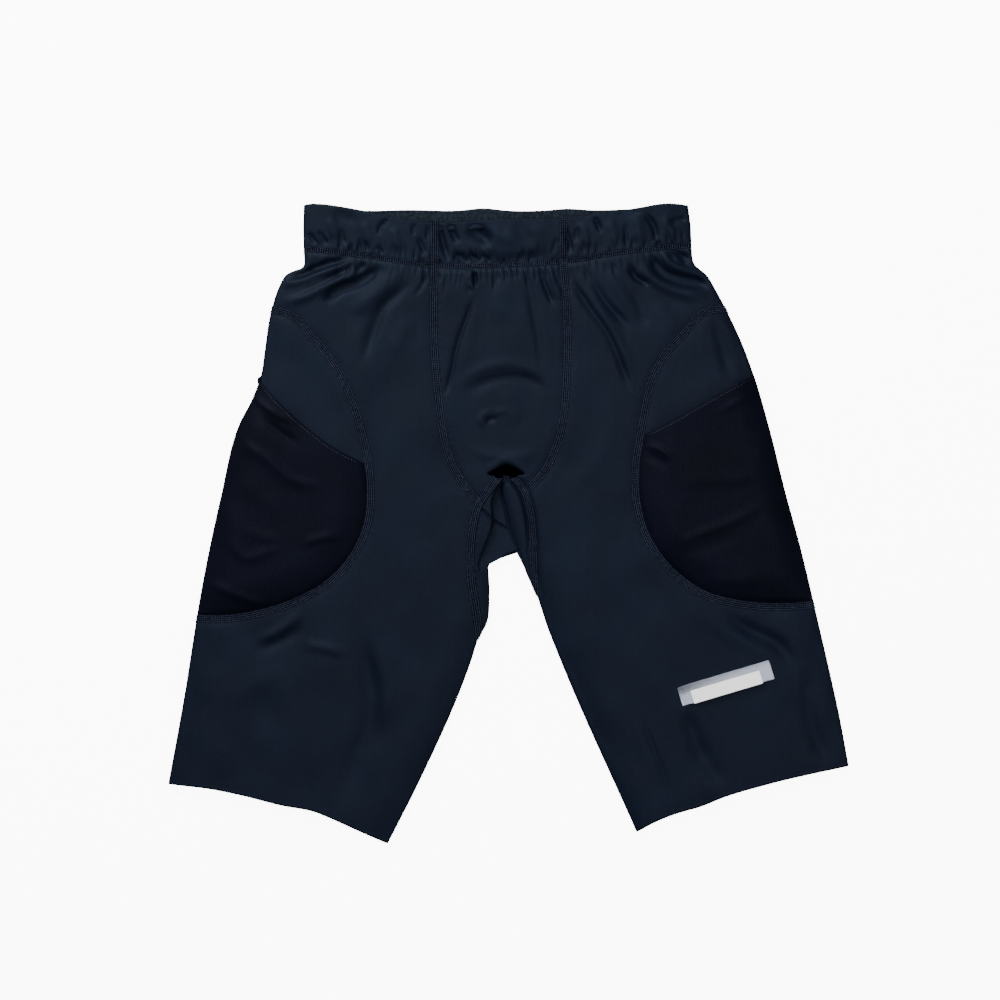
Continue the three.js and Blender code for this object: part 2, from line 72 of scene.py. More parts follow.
def smooth(points: Sequence[tuple[float, float]], step: float = 1.6) -> Points:
    """Runs a smooth curve through points.

    Args:
        points: the points that the curve passes through.
        step: the distance between the curve's own points.

    Returns:
        Evenly spaced points of the curve, one row each.
    """
    p = np.asarray(points, float)
    at = np.concatenate([[0.0], np.cumsum(np.hypot(*np.diff(p, axis=0).T))])
    slope = np.gradient(p, at, axis=0)
    u = np.linspace(0, at[-1], max(2, int(at[-1] / step) + 1))
    i = np.clip(np.searchsorted(at, u, "right") - 1, 0, len(at) - 2)
    h = (at[i + 1] - at[i])[:, None]
    s = (u - at[i])[:, None] / h
    return ((2 * s**3 - 3 * s**2 + 1) * p[i] + (s**3 - 2 * s**2 + s) * h * slope[i]
            + (3 * s**2 - 2 * s**3) * p[i + 1] + (s**3 - s**2) * h * slope[i + 1])


def straight(points: Sequence[tuple[float, float]], step: float = 1.6) -> Points:
    """Puts evenly spaced points on a line of straight stretches."""
    p = np.asarray(points, float)
    at = np.concatenate([[0.0], np.cumsum(np.hypot(*np.diff(p, axis=0).T))])
    u = np.linspace(0, at[-1], max(2, int(at[-1] / step) + 1))
    return np.stack([np.interp(u, at, p[:, 0]), np.interp(u, at, p[:, 1])], axis=1)


def normals(line: Points) -> Points:
    """Unit vectors to the left of a line's direction."""
    along = np.gradient(line, axis=0)
    along /= np.linalg.norm(along, axis=1, keepdims=True)
    return np.stack([-along[:, 1], along[:, 0]], axis=1)


def moved(line: Points, by: float) -> Points:
    """The line moved sideways, to the left where by is positive."""
    return line + by * normals(line)


def extended(line: Points, first: float, last: float) -> Points:
    """The line carried straight on past each end."""
    a = line[0] + (line[0] - line[1]) / np.linalg.norm(line[0] - line[1]) * first
    b = line[-1] + (line[-1] - line[-2]) / np.linalg.norm(line[-1] - line[-2]) * last
    return np.concatenate([[a] if first else np.empty((0, 2)), line, [b] if last else np.empty((0, 2))])


def arc_lengths(line: Points) -> Points:
    """The distance of each of a line's points from its start."""
    return np.concatenate([[0.0], np.cumsum(np.linalg.norm(np.diff(line, axis=0), axis=1))])


def shares(line: Points, at: Points) -> Points:
    """The points of a line at given distances from its start."""
    lengths = arc_lengths(line)
    return np.stack([np.interp(at, lengths, line[:, 0]), np.interp(at, lengths, line[:, 1])], axis=1)


def rail(line: Points, at: Points) -> tuple[Points, Points, Points]:
    """The points at given distances along a line, and the directions to its left and along it."""
    points = shares(line, at)
    left = normals(points)
    return points, left, np.stack([left[:, 1], -left[:, 0]], axis=1)


@dataclass(frozen=True)
class Nearness:
    """How a set of points lies against a line."""

    side: Points  # distance, positive to the left of the line
    ended: Points  # whether the foot is one of the line's ends
    along: Points  # distance of the foot from the line's start
    foot: Points
    normal: Points  # unit vector to the left, at the foot


def nearest(line: Points, points: Points) -> Nearness:
    """Finds the nearest place on a line for each point.

    Args:
        line: the line's points in order.
        points: the points to test.

    Returns:
        The signed distances, feet and normals.
    """
    start, run = line[:-1], np.diff(line, axis=0)
    length = np.linalg.norm(run, axis=1)
    before = np.concatenate([[0.0], np.cumsum(length)])[:-1]
    squares = (line**2).sum(1)
    side, ended, along, foot, normal = [], [], [], [], []
    for chunk in np.array_split(points, max(1, len(points) // 4000)):
        rows = np.arange(len(chunk))
        closest = (squares[None] - 2 * chunk @ line.T).argmin(1)
        k = np.stack([np.clip(closest - 1, 0, len(run) - 1), np.clip(closest, 0, len(run) - 1)])
        rel = chunk[None] - start[k]
        t = np.clip((rel * run[k]).sum(2) / length[k] ** 2, 0, 1)
        gap = rel - t[..., None] * run[k]
        pick = (gap**2).sum(2).argmin(0)
        k, t, gap = k[pick, rows], t[pick, rows], gap[pick, rows]
        d = np.linalg.norm(gap, axis=1)
        left = np.stack([-run[k, 1], run[k, 0]], axis=1) / length[k, None]
        sign = np.where((gap * left).sum(1) >= 0, 1.0, -1.0)
        side.append(sign * d)
        ended.append(((k == 0) & (t <= 0)) | ((k == len(run) - 1) & (t >= 1)))
        along.append(before[k] + t * length[k])
        foot.append(chunk - gap)
        normal.append(np.where(d[:, None] > 1e-3, sign[:, None] * gap / np.maximum(d, 1e-9)[:, None], left))
    return Nearness(*(np.concatenate(part) for part in (side, ended, along, foot, normal)))


def ease(x: Points) -> Points:
    """A smooth step from 0 to 1."""
    x = np.clip(x, 0, 1)
    return x * x * (3 - 2 * x)


def swell(x: Points) -> Points:
    """A quarter of a sine from 0 to 1, then level."""
    return np.sin(np.pi / 2 * np.clip(x, 0, 1))


def rolled(s: Points, radius: float, reach: float) -> tuple[Points, Points]:
    """Rolls cloth over an edge and back under itself.

    Args:
        s: the cloth's own distance inside the edge, negative past it.
        radius: the radius of the turn.
        reach: the length over which the cloth above takes up the turn.

    Returns:
        The distance from the edge in the rolled cloth, and how far it drops.
    """
    quarter = np.pi * radius / 2
    phi = np.clip((quarter - s) / radius, 0, np.pi)
    top = s - (quarter - radius) * (1 - ease((s - quarter) / reach))
    under = radius - (s + quarter)
    bent = radius * (1 - np.sin(phi))
    return np.where(s > quarter, top, np.where(s < -quarter, under, bent)), radius * (1 - np.cos(phi))


def inside(outline: Points, points: Points) -> Points:
    """Says which points lie inside a closed outline."""
    found = np.zeros(len(points), bool)
    for a, b in zip(outline, np.roll(outline, -1, axis=0)):
        if a[1] == b[1]:
            continue
        crosses = (a[1] > points[:, 1]) != (b[1] > points[:, 1])
        found ^= crosses & (points[:, 0] < a[0] + (points[:, 1] - a[1]) * (b[0] - a[0]) / (b[1] - a[1]))
    return found


# ---- the pattern ------------------------------------------------------------------------------------

class Side(Enum):
    """The wearer's two sides."""

    RIGHT = "right"
    LEFT = "left"


WRAP = 9.0  # cloth carried round a folded side to the back
FAR = 1e3  # further than any point of the pattern
EDGE_REACH = 20.0  # how far from a folded edge the cloth takes up the turn


@dataclass
class HalfPattern:
    """The lines of one half of the shorts, from the waist down."""

    side: Side
    band_side: Points
    outer: Points
    hem: Points
    inner: Points
    inseam: Points
    front_seam: Points
    hip_seam: Points
    mouth: Points
    hip_top: float
    hip_foot: float

    @property
    def inward(self) -> float:
        """1 where the inside of the cloth is to the left of a line that runs down the outer side."""
        return 1.0 if self.side is Side.RIGHT else -1.0

    def outer_between(self, high: float, low: float) -> Points:
        """The stretch of the outer side line between two heights, from the top down."""
        return self.outer[(self.outer[:, 1] <= high) & (self.outer[:, 1] >= low)]

    def wrapped(self, line: Points) -> Points:
        """A stretch of the outer side moved out by what the cloth wraps round it."""
        return moved(line, -self.inward * WRAP)


RIGHT = HalfPattern(
    side=Side.RIGHT,
    band_side=straight([(-163.9, 254.8), (-164.4, 236), (-164, 218.9)]),
    outer=smooth([(-164, 218.9), (-164.8, 205), (-172, 202.4), (-178, 199.2), (-183.8, 189.4), (-189.6, 172),
                  (-195.4, 137.1), (-197.6, 121.6), (-204.4, 101), (-214.8, 80.8), (-230.3, 20.8),
                  (-242, -33.5), (-249.8, -76.2), (-258.8, -133.2), (-272.4, -208.4)]),
    hem=smooth([(-272.4, -208.4), (-242, -211.4), (-212.4, -217.3), (-183.8, -224.5), (-152.5, -231),
                (-144.7, -234.2), (-118.6, -245.9), (-96.4, -256)]),
    inner=smooth([(-96.4, -256), (-71.8, -207.6), (-29.2, -108.4), (-24.1, -92.6), (-17.4, -80.2),
                  (-15.1, -56.6), (-16.2, -33.1)]),
    inseam=smooth([(-24.1, -92.6), (-26.9, -67.9), (-30.2, -45.4), (-30.4, -20), (-28, -1), (-24, 14.6),
                   (-15, 28), (-5.5, 40)]),
    front_seam=smooth([(-59, 205.5), (-59.8, 174.2), (-59, 135.4), (-57.4, 115.3), (-54.8, 90), (-50.6, 64.7),
                       (-43.8, 44.6), (-33, 27.8), (-24.4, 17.4)]),
    hip_seam=smooth([(-190, 171), (-176, 167.2), (-154.7, 146.8), (-134.3, 119.7), (-123.7, 94.5),
                     (-114, 59.6), (-110.1, 30.5), (-112.1, 1.4), (-123.7, -25.8), (-143, -47),
                     (-166.3, -60.6), (-201.2, -72.2), (-230.3, -76.2), (-249.8, -76.2)]),
    mouth=smooth([(-200.4, 118.6), (-185.8, 100.3), (-158.6, 75), (-139.2, 60.6), (-115, 48.4)]),
    hip_top=171, hip_foot=-76.2,
)
LEFT = HalfPattern(
    side=Side.LEFT,
    band_side=straight([(143.8, 254.6), (146, 238), (146.6, 221.5)]),
    outer=smooth([(146.6, 221.5), (148.6, 208.2), (158.8, 198.8), (166, 186.8), (174.4, 171), (189.2, 138.8),
                  (195.6, 121.2), (209.2, 74.8), (221.2, 26.8), (233.2, -17.2), (244.8, -65), (256.3, -114.2),
                  (265.6, -156.7), (272.4, -193.8)]),
    hem=smooth([(272.4, -193.8), (245.7, -199.2), (205.8, -208.5), (174, -217.8), (150.2, -227),
                (134.2, -231.7), (118.3, -237.7), (102.4, -247)]),
    inner=smooth([(102.4, -247), (41, -108.3), (30.4, -81.4), (22.5, -57.8), (14.6, -41), (7.9, -20.7)]),
    inseam=smooth([(22.5, -57.8), (20.8, -28.6), (19.6, -9.8), (17.2, 10.6), (12.4, 26), (2, 40)]),
    front_seam=smooth([(43.8, 207.8), (46.2, 174.2), (47, 149), (46.2, 115.3), (43.7, 85), (38.6, 63),
                       (29.4, 42.9), (12.8, 24.8)]),
    hip_seam=smooth([(174.4, 171), (158.5, 169.1), (139.1, 150.7), (123.6, 133.2), (114.9, 115.8),
                     (108.1, 86.8), (104.4, 66), (101.3, 46), (102.3, 16.9), (110, -10.2), (131.4, -39.3),
                     (156.6, -56.8), (181.8, -63.6), (216.7, -66.5), (244.8, -65)]),
    mouth=smooth([(194.6, 118.4), (170, 104.6), (153, 95), (130, 81.6), (106, 70)]),
    hip_top=171, hip_foot=-65,
)
HALVES = {Side.RIGHT: RIGHT, Side.LEFT: LEFT}

WAIST_SEAM = smooth([(-164, 218.9), (-112.6, 212.4), (-59.1, 205), (-7.6, 205.5), (44.2, 208.2),
                     (92.4, 215.6), (146.6, 221.5)])
BAND_TOP = smooth([(-163.9, 254.8), (-158.5, 255.7), (-151.4, 255.4), (-138.9, 253.9), (-112.1, 248.9),
                   (-94.2, 244.5), (-79.9, 242.5), (-62, 240.6), (-44, 240.6), (-26.4, 241.5), (-8.5, 242.9),
                   (27, 243.8), (41.5, 244.2), (58, 245.7), (83.8, 248.9), (103, 252.1), (130, 255.9),
                   (143.8, 254.6)])
BACK_BAND_TOP = smooth([(-161, 252.2), (-112, 249.6), (-80, 250.2), (-40, 249.8), (-19, 251.6), (-2, 249.8),
                        (30, 249.9), (45, 251.2), (70, 250), (100, 251), (141, 252.6)])
GAP_TOP = straight([(-16.2, -33.1), (7.9, -20.7)])
ARCH = smooth([(-18.5, 39.6), (-11.5, 43.2), (-3, 47.6), (6, 44.6), (14.5, 39.2)], 1.0)
BAND_SEAM_RIGHT = straight([(-59, 241.6), (-59, 205.3)])
BAND_SEAM_LEFT = straight([(43.7, 244.6), (43.8, 208)])
CENTRE_X = -5.0
CENTRE_BACK = straight([(CENTRE_X, 206), (CENTRE_X, -27)])


# ---- the front layer's surface ----------------------------------------------------------------------

@lru_cache(maxsize=None)
def crest(path: tuple[tuple[float, float], ...]) -> Points:
    """The smooth line of a fold's path."""
    return smooth(path, 3.0)


@dataclass(frozen=True)
class Fold:
    """A ridge of the cloth, or a valley where its height is negative.

    Attributes:
        path: the crest's points.
        height: the crest's height, or depth where negative.
        left: how far the slope reaches to the left of the path.
        right: how far it reaches to the right; the same as the left if not given.
        blunt: the share of the path at each end over which the crest fades.
    """

    path: tuple[tuple[float, float], ...]
    height: float
    left: float
    right: float = 0.0
    blunt: float = 0.35

    def lift(self, points: Points, softness: float = 1.0) -> Points:
        """Gives the height that the fold adds at each point, its slopes widened by a softness."""
        out = np.zeros(len(points))
        left = softness * self.left
        right = softness * self.right or left
        reach = 2.4 * max(left, right)
        p = np.asarray(self.path)
        near = np.all((points > p.min(0) - reach) & (points < p.max(0) + reach), axis=1)
        if not near.any():
            return out
        line = crest(self.path)
        found = nearest(line, points[near])
        share = found.along / arc_lengths(line)[-1]
        width = np.where(found.side > 0, left, right)
        ends = ease(share / self.blunt) * ease((1 - share) / self.blunt)
        out[near] = self.height * ends * np.exp(-((found.side / width) ** 2))
        return out


BAND_SOFTNESS = 1.3
BODY_DEPTH = 1.25  # the body's folds over the heights that are listed
VALLEY_GAIN = 0.55  # how much deeper a valley is than a ridge is high
DEEPEST = -5.0
BAND_FOLDS = (
    Fold(((-54, 211), (-30, 210), (0, 210), (24, 212), (40, 214)), -1.5, 4.5, 0, 0.2),
    Fold(((-34, 236), (-20, 229), (-12, 222)), -1.6, 4.0),
    Fold(((2, 238), (10, 232), (24, 228)), -1.5, 4.2),
    Fold(((-159.5, 233), (-151.3, 222.4)), -1.6, 1.5),
    Fold(((-152.5, 234.2), (-143, 221.3)), -1.3, 1.4),
    Fold(((-134.9, 236.5), (-129.6, 221.3)), -1.0, 1.4),
    Fold(((-115, 226), (-110.8, 216.6)), -1.0, 1.3),
    Fold(((-94, 243.6), (-102, 236.5), (-104.4, 228.3)), -1.8, 1.7),
    Fold(((-105.6, 222.4), (-99.7, 214.2)), -1.2, 1.4),
    Fold(((-75, 240), (-76.8, 228.3)), -1.1, 1.4),
    Fold(((-72.7, 229.5), (-65.7, 213)), -1.4, 1.6),
    Fold(((-64, 239), (-65, 224.8)), -0.9, 1.3),
    Fold(((-56.3, 240), (-52.8, 226), (-48, 209.5)), -2.2, 1.8),
    Fold(((-48, 240), (-39.9, 222.4)), -2.0, 2.0),
    Fold(((-43.4, 216.6), (-31.6, 207.2)), -1.9, 1.8),
    Fold(((-31.6, 215.4), (-22.2, 208.3)), -1.5, 1.5),
    Fold(((-22.2, 215.4), (-14, 208.3)), -1.1, 1.5),
    Fold(((-36.3, 236.5), (-10.5, 224.8)), -1.5, 4.5),
    Fold(((-140.8, 248.2), (-119.6, 240)), -0.8, 3.5),
    Fold(((47.7, 238.9), (46.5, 231.8), (48.9, 223.6), (46.5, 211.9)), -2.0, 1.7),
    Fold(((67.7, 244.7), (71.8, 237.7), (73.5, 230.6)), -1.9, 1.6),
    Fold(((94.1, 240.6), (92.3, 220.1)), -1.1, 1.4),
    Fold(((107.6, 248.2), (115.8, 237.7), (118.1, 222.4)), -2.0, 1.8),
    Fold(((84, 248.4), (107.6, 248.4)), -1.0, 2.2),
    Fold(((145, 243.5), (132.2, 241.2), (127.5, 234.2)), -1.3, 1.8),
    Fold(((39.5, 229.5), (33.6, 211.9)), -1.0, 1.5),
    Fold(((55.9, 237.7), (52.4, 223.6)), -1.0, 1.5),
    Fold(((-20, 238), (-6, 229), (12, 226)), 1.5, 4.5),
    Fold(((-6, 236), (16, 232), (36, 236)), 1.2, 4.5),
    Fold(((56, 241), (61, 231), (62, 219)), 1.4, 3.0),
    Fold(((78, 243), (84, 232), (84, 220)), 1.5, 3.2),
    Fold(((99, 247), (104, 236), (104, 222)), 1.5, 3.2),
    Fold(((122, 246), (128, 236), (132, 225)), 1.3, 3.0),
    Fold(((-116, 243), (-113, 232), (-110, 222)), 1.2, 2.8),
    Fold(((-92, 238), (-90, 228), (-88, 216)), 1.4, 3.0),
    Fold(((-146, 244), (-140, 236), (-138, 226)), 1.0, 2.8),
)

BODY_FOLDS = (
    # below the band, wearer's right
    Fold(((-181, 197), (-164, 198.5), (-148, 206), (-134, 210), (-124, 212)), -2.6, 3.0, 3.4, 0.25),
    Fold(((-184, 190), (-169, 192), (-151.4, 199), (-134, 206), (-122, 211)), 1.7, 2.6, 0, 0.25),
    Fold(((-172, 183), (-156, 188), (-138, 198), (-122, 207)), -1.1, 2.4),
    Fold(((-182, 175), (-164, 180), (-148, 188.5), (-130, 196), (-114, 205)), 1.9, 3.6, 0, 0.25),
    Fold(((-150, 175), (-137, 187), (-119, 193.6), (-108.5, 200.7), (-101, 207)), -3.2, 3.2, 4.2, 0.25),
    Fold(((-122, 201), (-114, 209)), -1.2, 1.7),
    Fold(((-118, 120), (-111, 144), (-105.6, 159), (-100, 172), (-88, 184), (-79, 193), (-74.5, 205)),
         -1.8, 5.5, 4.0),
    Fold(((-128, 165), (-112, 178), (-96, 192), (-88, 206)), 1.7, 6.0),
    Fold(((-76, 180), (-68, 192), (-66, 203)), -1.1, 1.4),
    Fold(((-92, 130), (-86, 150), (-76, 168)), 1.0, 7.0),
    # front panel
    Fold(((-27.5, 203), (-26.4, 188)), -1.7, 1.4),
    Fold(((-31, 203), (-30.6, 190), (-26, 186)), 1.2, 1.9),
    Fold(((-26, 184), (-33, 164), (-40.6, 142), (-45, 120), (-52, 97)), -1.15, 1.3, 2.6, 0.2),
    Fold(((-21, 176), (-29, 156), (-33, 138), (-37, 118)), 0.6, 5.0),
    Fold(((34, 106), (27, 117), (9.4, 126), (-12, 126), (-33.5, 115), (-42, 104)), 1.0, 5.0, 0, 0.25),
    Fold(((30, 103), (22, 112), (3, 116.5), (-14, 114), (-30, 106), (-37, 100)), -0.9, 5.0, 0, 0.3),
    Fold(((15, 200), (19, 172), (24, 146), (29, 118)), -0.9, 4.0),
    Fold(((-2, 110), (0, 96), (8, 78)), 0.7, 9.0),
    Fold(((-12, 90), (-18, 88), (-22, 82), (-19, 76)), 0.8, 2.8),
    Fold(((-9, 83), (-15, 83), (-17, 79)), -0.8, 2.2),
    Fold(((-12, 86), (-6, 90), (-2, 86)), 0.6, 3.0),
    Fold(((25, 204), (30, 188), (37, 172)), -1.3, 2.2),
    Fold(((33, 204), (38, 190), (42, 176)), 1.0, 2.4),
    Fold(((-2, 196), (-6, 176), (-4, 156)), 0.9, 8.0),
    Fold(((-34, 62), (-18, 55), (-3, 53), (14, 54), (28, 62)), 1.0, 4.5),
    # below the band, wearer's left
    Fold(((112, 216), (124, 200), (140, 194), (161, 190)), -3.4, 3.4, 4.2, 0.25),
    Fold(((127.6, 218), (143, 211.6), (161, 200.4)), -2.3, 2.3, 0, 0.25),
    Fold(((94, 207), (102, 196.5), (115, 190)), -1.9, 2.4),
    Fold(((102, 210), (113, 197), (130, 187), (160, 180)), 1.9, 4.4, 0, 0.25),
    Fold(((119, 217), (133, 205), (150, 199), (167, 195)), 1.7, 2.7, 0, 0.25),
    Fold(((48, 198), (63.6, 174.5), (80, 151.6), (92, 123), (98, 104)), -1.5, 2.0, 3.4, 0.2),
    Fold(((60, 196), (74, 168), (90, 140), (102, 112)), 1.3, 5.0),
    Fold(((63.6, 203), (75, 180), (84, 169), (100, 154)), -1.5, 3.2),
    Fold(((76, 204), (90, 184), (108, 162)), 1.1, 5.0),
    Fold(((92, 190), (104, 172), (112, 150)), -1.0, 6.0),
    Fold(((114, 176), (128, 162), (134, 148)), 0.8, 6.0),
    Fold(((161.5, 168), (168.6, 147), (174.5, 124), (179, 113)), -1.1, 4.4),
    # legs
    Fold(((-122, -74), (-115, -95), (-111, -116), (-109, -148), (-122, -190), (-138, -229)), -1.6, 9.0),
    Fold(((-109, -88), (-101, -112), (-97, -130), (-104, -168)), 1.4, 8.0),
    Fold(((-203, -95), (-181, -84), (-162, -69)), 1.3, 4.0),
    Fold(((-206, -104), (-182, -94), (-160, -80)), -0.9, 5.0),
    Fold(((-166, -97), (-146, -99), (-127, -106)), 1.2, 4.0),
    Fold(((-226, -150), (-206, -130), (-176, -118)), 1.0, 9.0),
    Fold(((104, -148), (119, -186), (133, -226)), -0.75, 1.3, 3.4),
    Fold(((98, -150), (113, -190), (127, -226)), 0.5, 5.0),
    Fold(((140, -146), (152, -180), (171, -214)), -1.7, 7.0, 0, 0.25),
    Fold(((238, -112), (241, -154), (255, -196)), -1.3, 6.0, 0, 0.25),
    Fold(((168, -70), (190, -84), (214, -96), (232, -122)), -1.8, 6.0),
    Fold(((150, -66), (176, -88), (200, -102), (214, -116)), 1.1, 6.5),
    Fold(((66, 20), (62, -40), (74, -100), (94, -150)), 1.0, 12.0),
    Fold(((-70, 60), (-74, 10), (-66, -50), (-70, -110)), 0.9, 13.0),
    Fold(((84, 96), (76, 60), (60, 36), (40, 26)), 0.8, 8.0),
    Fold(((150, -180), (160, -200), (166, -222)), 0.9, 7.0),
)

POCKET_FOLDS = (
    Fold(((-212, 72), (-208, 64), (-193, 53), (-172, 36), (-145, 29)), 1.7, 3.2, 5.6, 0.3),
    Fold(((-199, 88), (-190, 79), (-178, 70), (-164, 62)), -1.7, 3.6),
    Fold(((-207, 108), (-197, 96), (-180, 84.5), (-168, 78)), 1.2, 2.6, 0, 0.3),
    Fold(((-214, -2), (-196, -10), (-176, -12)), 1.0, 4.4),
    Fold(((-168, -18), (-148, -11), (-128, -9)), 1.4, 3.6),
    Fold(((-225, -6), (-208, -27), (-190, -22), (-174, -16)), 1.2, 4.2),
    Fold(((-243, -45), (-218, -56), (-189, -67)), 1.2, 3.6),
    Fold(((-214, 40), (-196, 20), (-176, 6)), 0.8, 7.0),
    Fold(((106, 63), (120, 59), (133, 49)), 1.5, 3.0),
    Fold(((108, 54), (120, 50), (128, 42)), -0.9, 3.4),
    Fold(((129, -17), (152, -8), (178, 2), (211, 20)), 1.5, 4.0),
    Fold(((132, -26), (158, -18), (188, -8)), -0.9, 5.0),
    Fold(((165, 87), (182, 97), (198, 105)), 1.2, 3.0),
    Fold(((129, 35), (160, 35), (186, 36), (207, 42)), 1.0, 5.0),
    Fold(((196, 78), (200, 60), (196, 44)), 0.8, 4.5),
    Fold(((150, -44), (176, -46), (206, -42)), 0.8, 5.0),
)


@dataclass(frozen=True)
class FoldedEdge:
    """A line where the cloth turns over on itself.

    Attributes:
        line: the edge's points.
        inward: 1 where the cloth lies to the left of the line, -1 where it lies to the right.
        radius: the radius of the turn.
        falls: whether the layer slopes down towards this edge.
        fades: the length over which the turn dies out at the line's last end.
        starts: the length over which the turn grows at its first end.
    """

    line: Points
    inward: float
    radius: float
    falls: bool = True
    fades: float = 0.0
    starts: float = 0.0


@dataclass
class FrontSurface:
    """Where every point of the front layer lies: its height, its folds and its folded edges."""

    plateau: float = 10.0
    edge: float = 5.5
    slope: float = 24.0
    seed: int = 11
    edges: dict[str, FoldedEdge] = field(default_factory=dict)
    gathers: list[Fold] = field(default_factory=list)

    def __post_init__(self) -> None:
        """Lists the folded edges and draws the gathers from the seed."""
        self.edges = {
            "outer_right": FoldedEdge(extended(RIGHT.outer[::2], 10, 20), 1, 2.5),
            "outer_left": FoldedEdge(extended(LEFT.outer[::2], 10, 20), -1, 2.5),
            "band_right": FoldedEdge(extended(RIGHT.band_side, 12, 10), 1, 2.5),
            "band_left": FoldedEdge(extended(LEFT.band_side, 12, 10), -1, 2.5),
            "inner_right": FoldedEdge(extended(RIGHT.inner, 20, 0), 1, 2.2, fades=2.4),
            "inner_left": FoldedEdge(extended(LEFT.inner, 20, 0), -1, 2.2, fades=2.4),
            "gap_top": FoldedEdge(GAP_TOP, 1, 0.9, falls=False, fades=2, starts=2),
            "band_top": FoldedEdge(extended(BAND_TOP, 8, 8), -1, 1.25, falls=False),
        }
        self.gathers = self.drawn_gathers()

    def drawn_gathers(self) -> list[Fold]:
        """Draws short creases down and up from the waist seam."""
        rng = np.random.default_rng(self.seed)
        gathers = []
        length = arc_lengths(WAIST_SEAM)[-1]
        at = 6.0
        while at < length - 5:
            x, y = shares(WAIST_SEAM, np.array([at]))[0]
            lean = 0.22 * (x + 8) / 100 + rng.normal(0, 0.12)
            drop = rng.uniform(9, 26)
            deep = -rng.uniform(0.4, 1.1)
            down = ((x, y + 1.0), (x + lean * drop, y - drop))
            gathers.append(Fold(down, deep, rng.uniform(0.9, 1.6), 0, 0.5))
            rise = rng.uniform(7, 20)
            x += rng.uniform(-1.5, 1.5)
            up = ((x, y - 0.5), (x + rng.normal(0, 1.5), y + rise))
            gathers.append(Fold(up, -rng.uniform(0.4, 1.1), rng.uniform(1.0, 1.8), 0, 0.5))
            at += rng.uniform(3.4, 5.6)
        return gathers

    def rough(self, points: Points) -> Points:
        """Low unevenness of cloth that lies loose, a few tenths of a millimetre."""
        rng = np.random.default_rng(self.seed + 1)
        out = np.zeros(len(points))
        for _ in range(26):
            angle, length = rng.uniform(0, np.pi), rng.uniform(22, 90)
            k = 2 * np.pi / length * np.array([math.cos(angle), math.sin(angle)])
            out += length / 60 * 0.10 * np.sin(points @ k + rng.uniform(0, 2 * np.pi))
        return out

    def seam_dip(self, points: Points) -> Points:
        """The trough that each seam pulls, with short puckers across it."""
        out = np.zeros(len(points))
        lines = [(WAIST_SEAM, 1.1, 2.6, 0.1)]
        for half in HALVES.values():
            lines += [(half.front_seam, 0.8, 4.6, 0.06), (half.hip_seam, 0.7, 5, 0.05),
                      (half.inseam, 0.4 if half.side is Side.RIGHT else 2.4, 3.6, 0.07)]
        for k, (line, depth, reach, pucker) in enumerate(lines):
            low, high = line.min(0) - 14, line.max(0) + 14
            near = np.all((points > low) & (points < high), axis=1)
            if not near.any():
                continue
            found = nearest(line[::2], points[near])
            wave = np.sin(found.along * 2 * np.pi / 6.3 + 1.7 * np.sin(found.along / 11 + k))
            away = np.abs(found.side)
            out[near] -= depth * np.exp(-((away / reach) ** 2))
            out[near] += pucker * wave * np.exp(-(((away - 4.0) / 4.0) ** 2))
        return out

    def from_edges(self, points: Points) -> Points:
        """The distance from the nearest edge that the layer slopes down to, negative outside it."""
        least = np.full(len(points), FAR)
        for key, edge in self.edges.items():
            if edge.falls:
                found = nearest(edge.line, points)
                d = np.abs(found.side) * np.where((found.side * edge.inward >= 0) | found.ended, 1, -1)
                least = np.where(np.abs(d) < np.abs(least), d, least)
        return least

    def height(self, points: Points, detail: float = 1.0) -> Points:
        """Gives the height of the front layer's face.

        Args:
            points: places on the flat pattern.
            detail: the share of the folds' height that is used.

        Returns:
            One height for each point.
        """
        away = self.from_edges(points)
        base = self.edge + (self.plateau - self.edge) * swell(away / self.slope)
        if detail == 0:
            return base
        lift = self.rough(points) + self.seam_dip(points)
        for fold in BAND_FOLDS:
            lift += fold.lift(points, BAND_SOFTNESS)
        for fold in (*BODY_FOLDS, *self.gathers):
            lift += BODY_DEPTH * fold.lift(points)
        lift *= 1 + VALLEY_GAIN * (lift < 0)
        return base + detail * np.maximum(lift, DEEPEST) * ease((away - 1.5) / 7)

    def turned(self, points: Points, z: Points, keys: Iterable[str]) -> Points:
        """Turns the cloth round its folded edges.

        Args:
            points: places on the flat pattern, some of them past an edge.
            z: the face's height at each point.
            keys: the names of the edges that this piece turns round.

        Returns:
            Points in space, one row each.
        """
        out = np.column_stack([points, z])
        least = np.full(len(points), FAR)
        for key in keys:
            edge = self.edges[key]
            found = nearest(edge.line, points)
            s = found.side * edge.inward
            rank = np.where(s < 0, -s, s + 100)
            reach = EDGE_REACH + np.pi * edge.radius / 2
            now = (rank < least) & (s < reach) & (s > -WRAP - 6) & ~found.ended
            least = np.where(now, rank, least)
            d, drop = rolled(s, edge.radius, EDGE_REACH)
            whole = ease((arc_lengths(edge.line)[-1] - found.along) / (edge.fades or 1e-6))
            whole = whole * ease(found.along / (edge.starts or 1e-6))
            place = points + (whole * edge.inward * (d - s))[:, None] * found.normal
            out[now, :2] = place[now]
            out[now, 2] = (z - whole * drop)[now]
        return out


SURFACE = FrontSurface()


def tuck(points: Points) -> Points:
    """The share, 0 to 1, by which cloth sinks under the front panel's arch."""
    near = nearest(ARCH, points)
    share = near.along / arc_lengths(ARCH)[-1]
    across = np.sin(np.pi * np.clip(share, 0.02, 0.98))
    below = np.maximum(-near.side, 0)
    return ease(across / 0.3) * ease(below / 1.0) * np.exp(-((below / (8.5 * across)) ** 2))


# ---- meshes -----------------------------------------------------------------------------------------

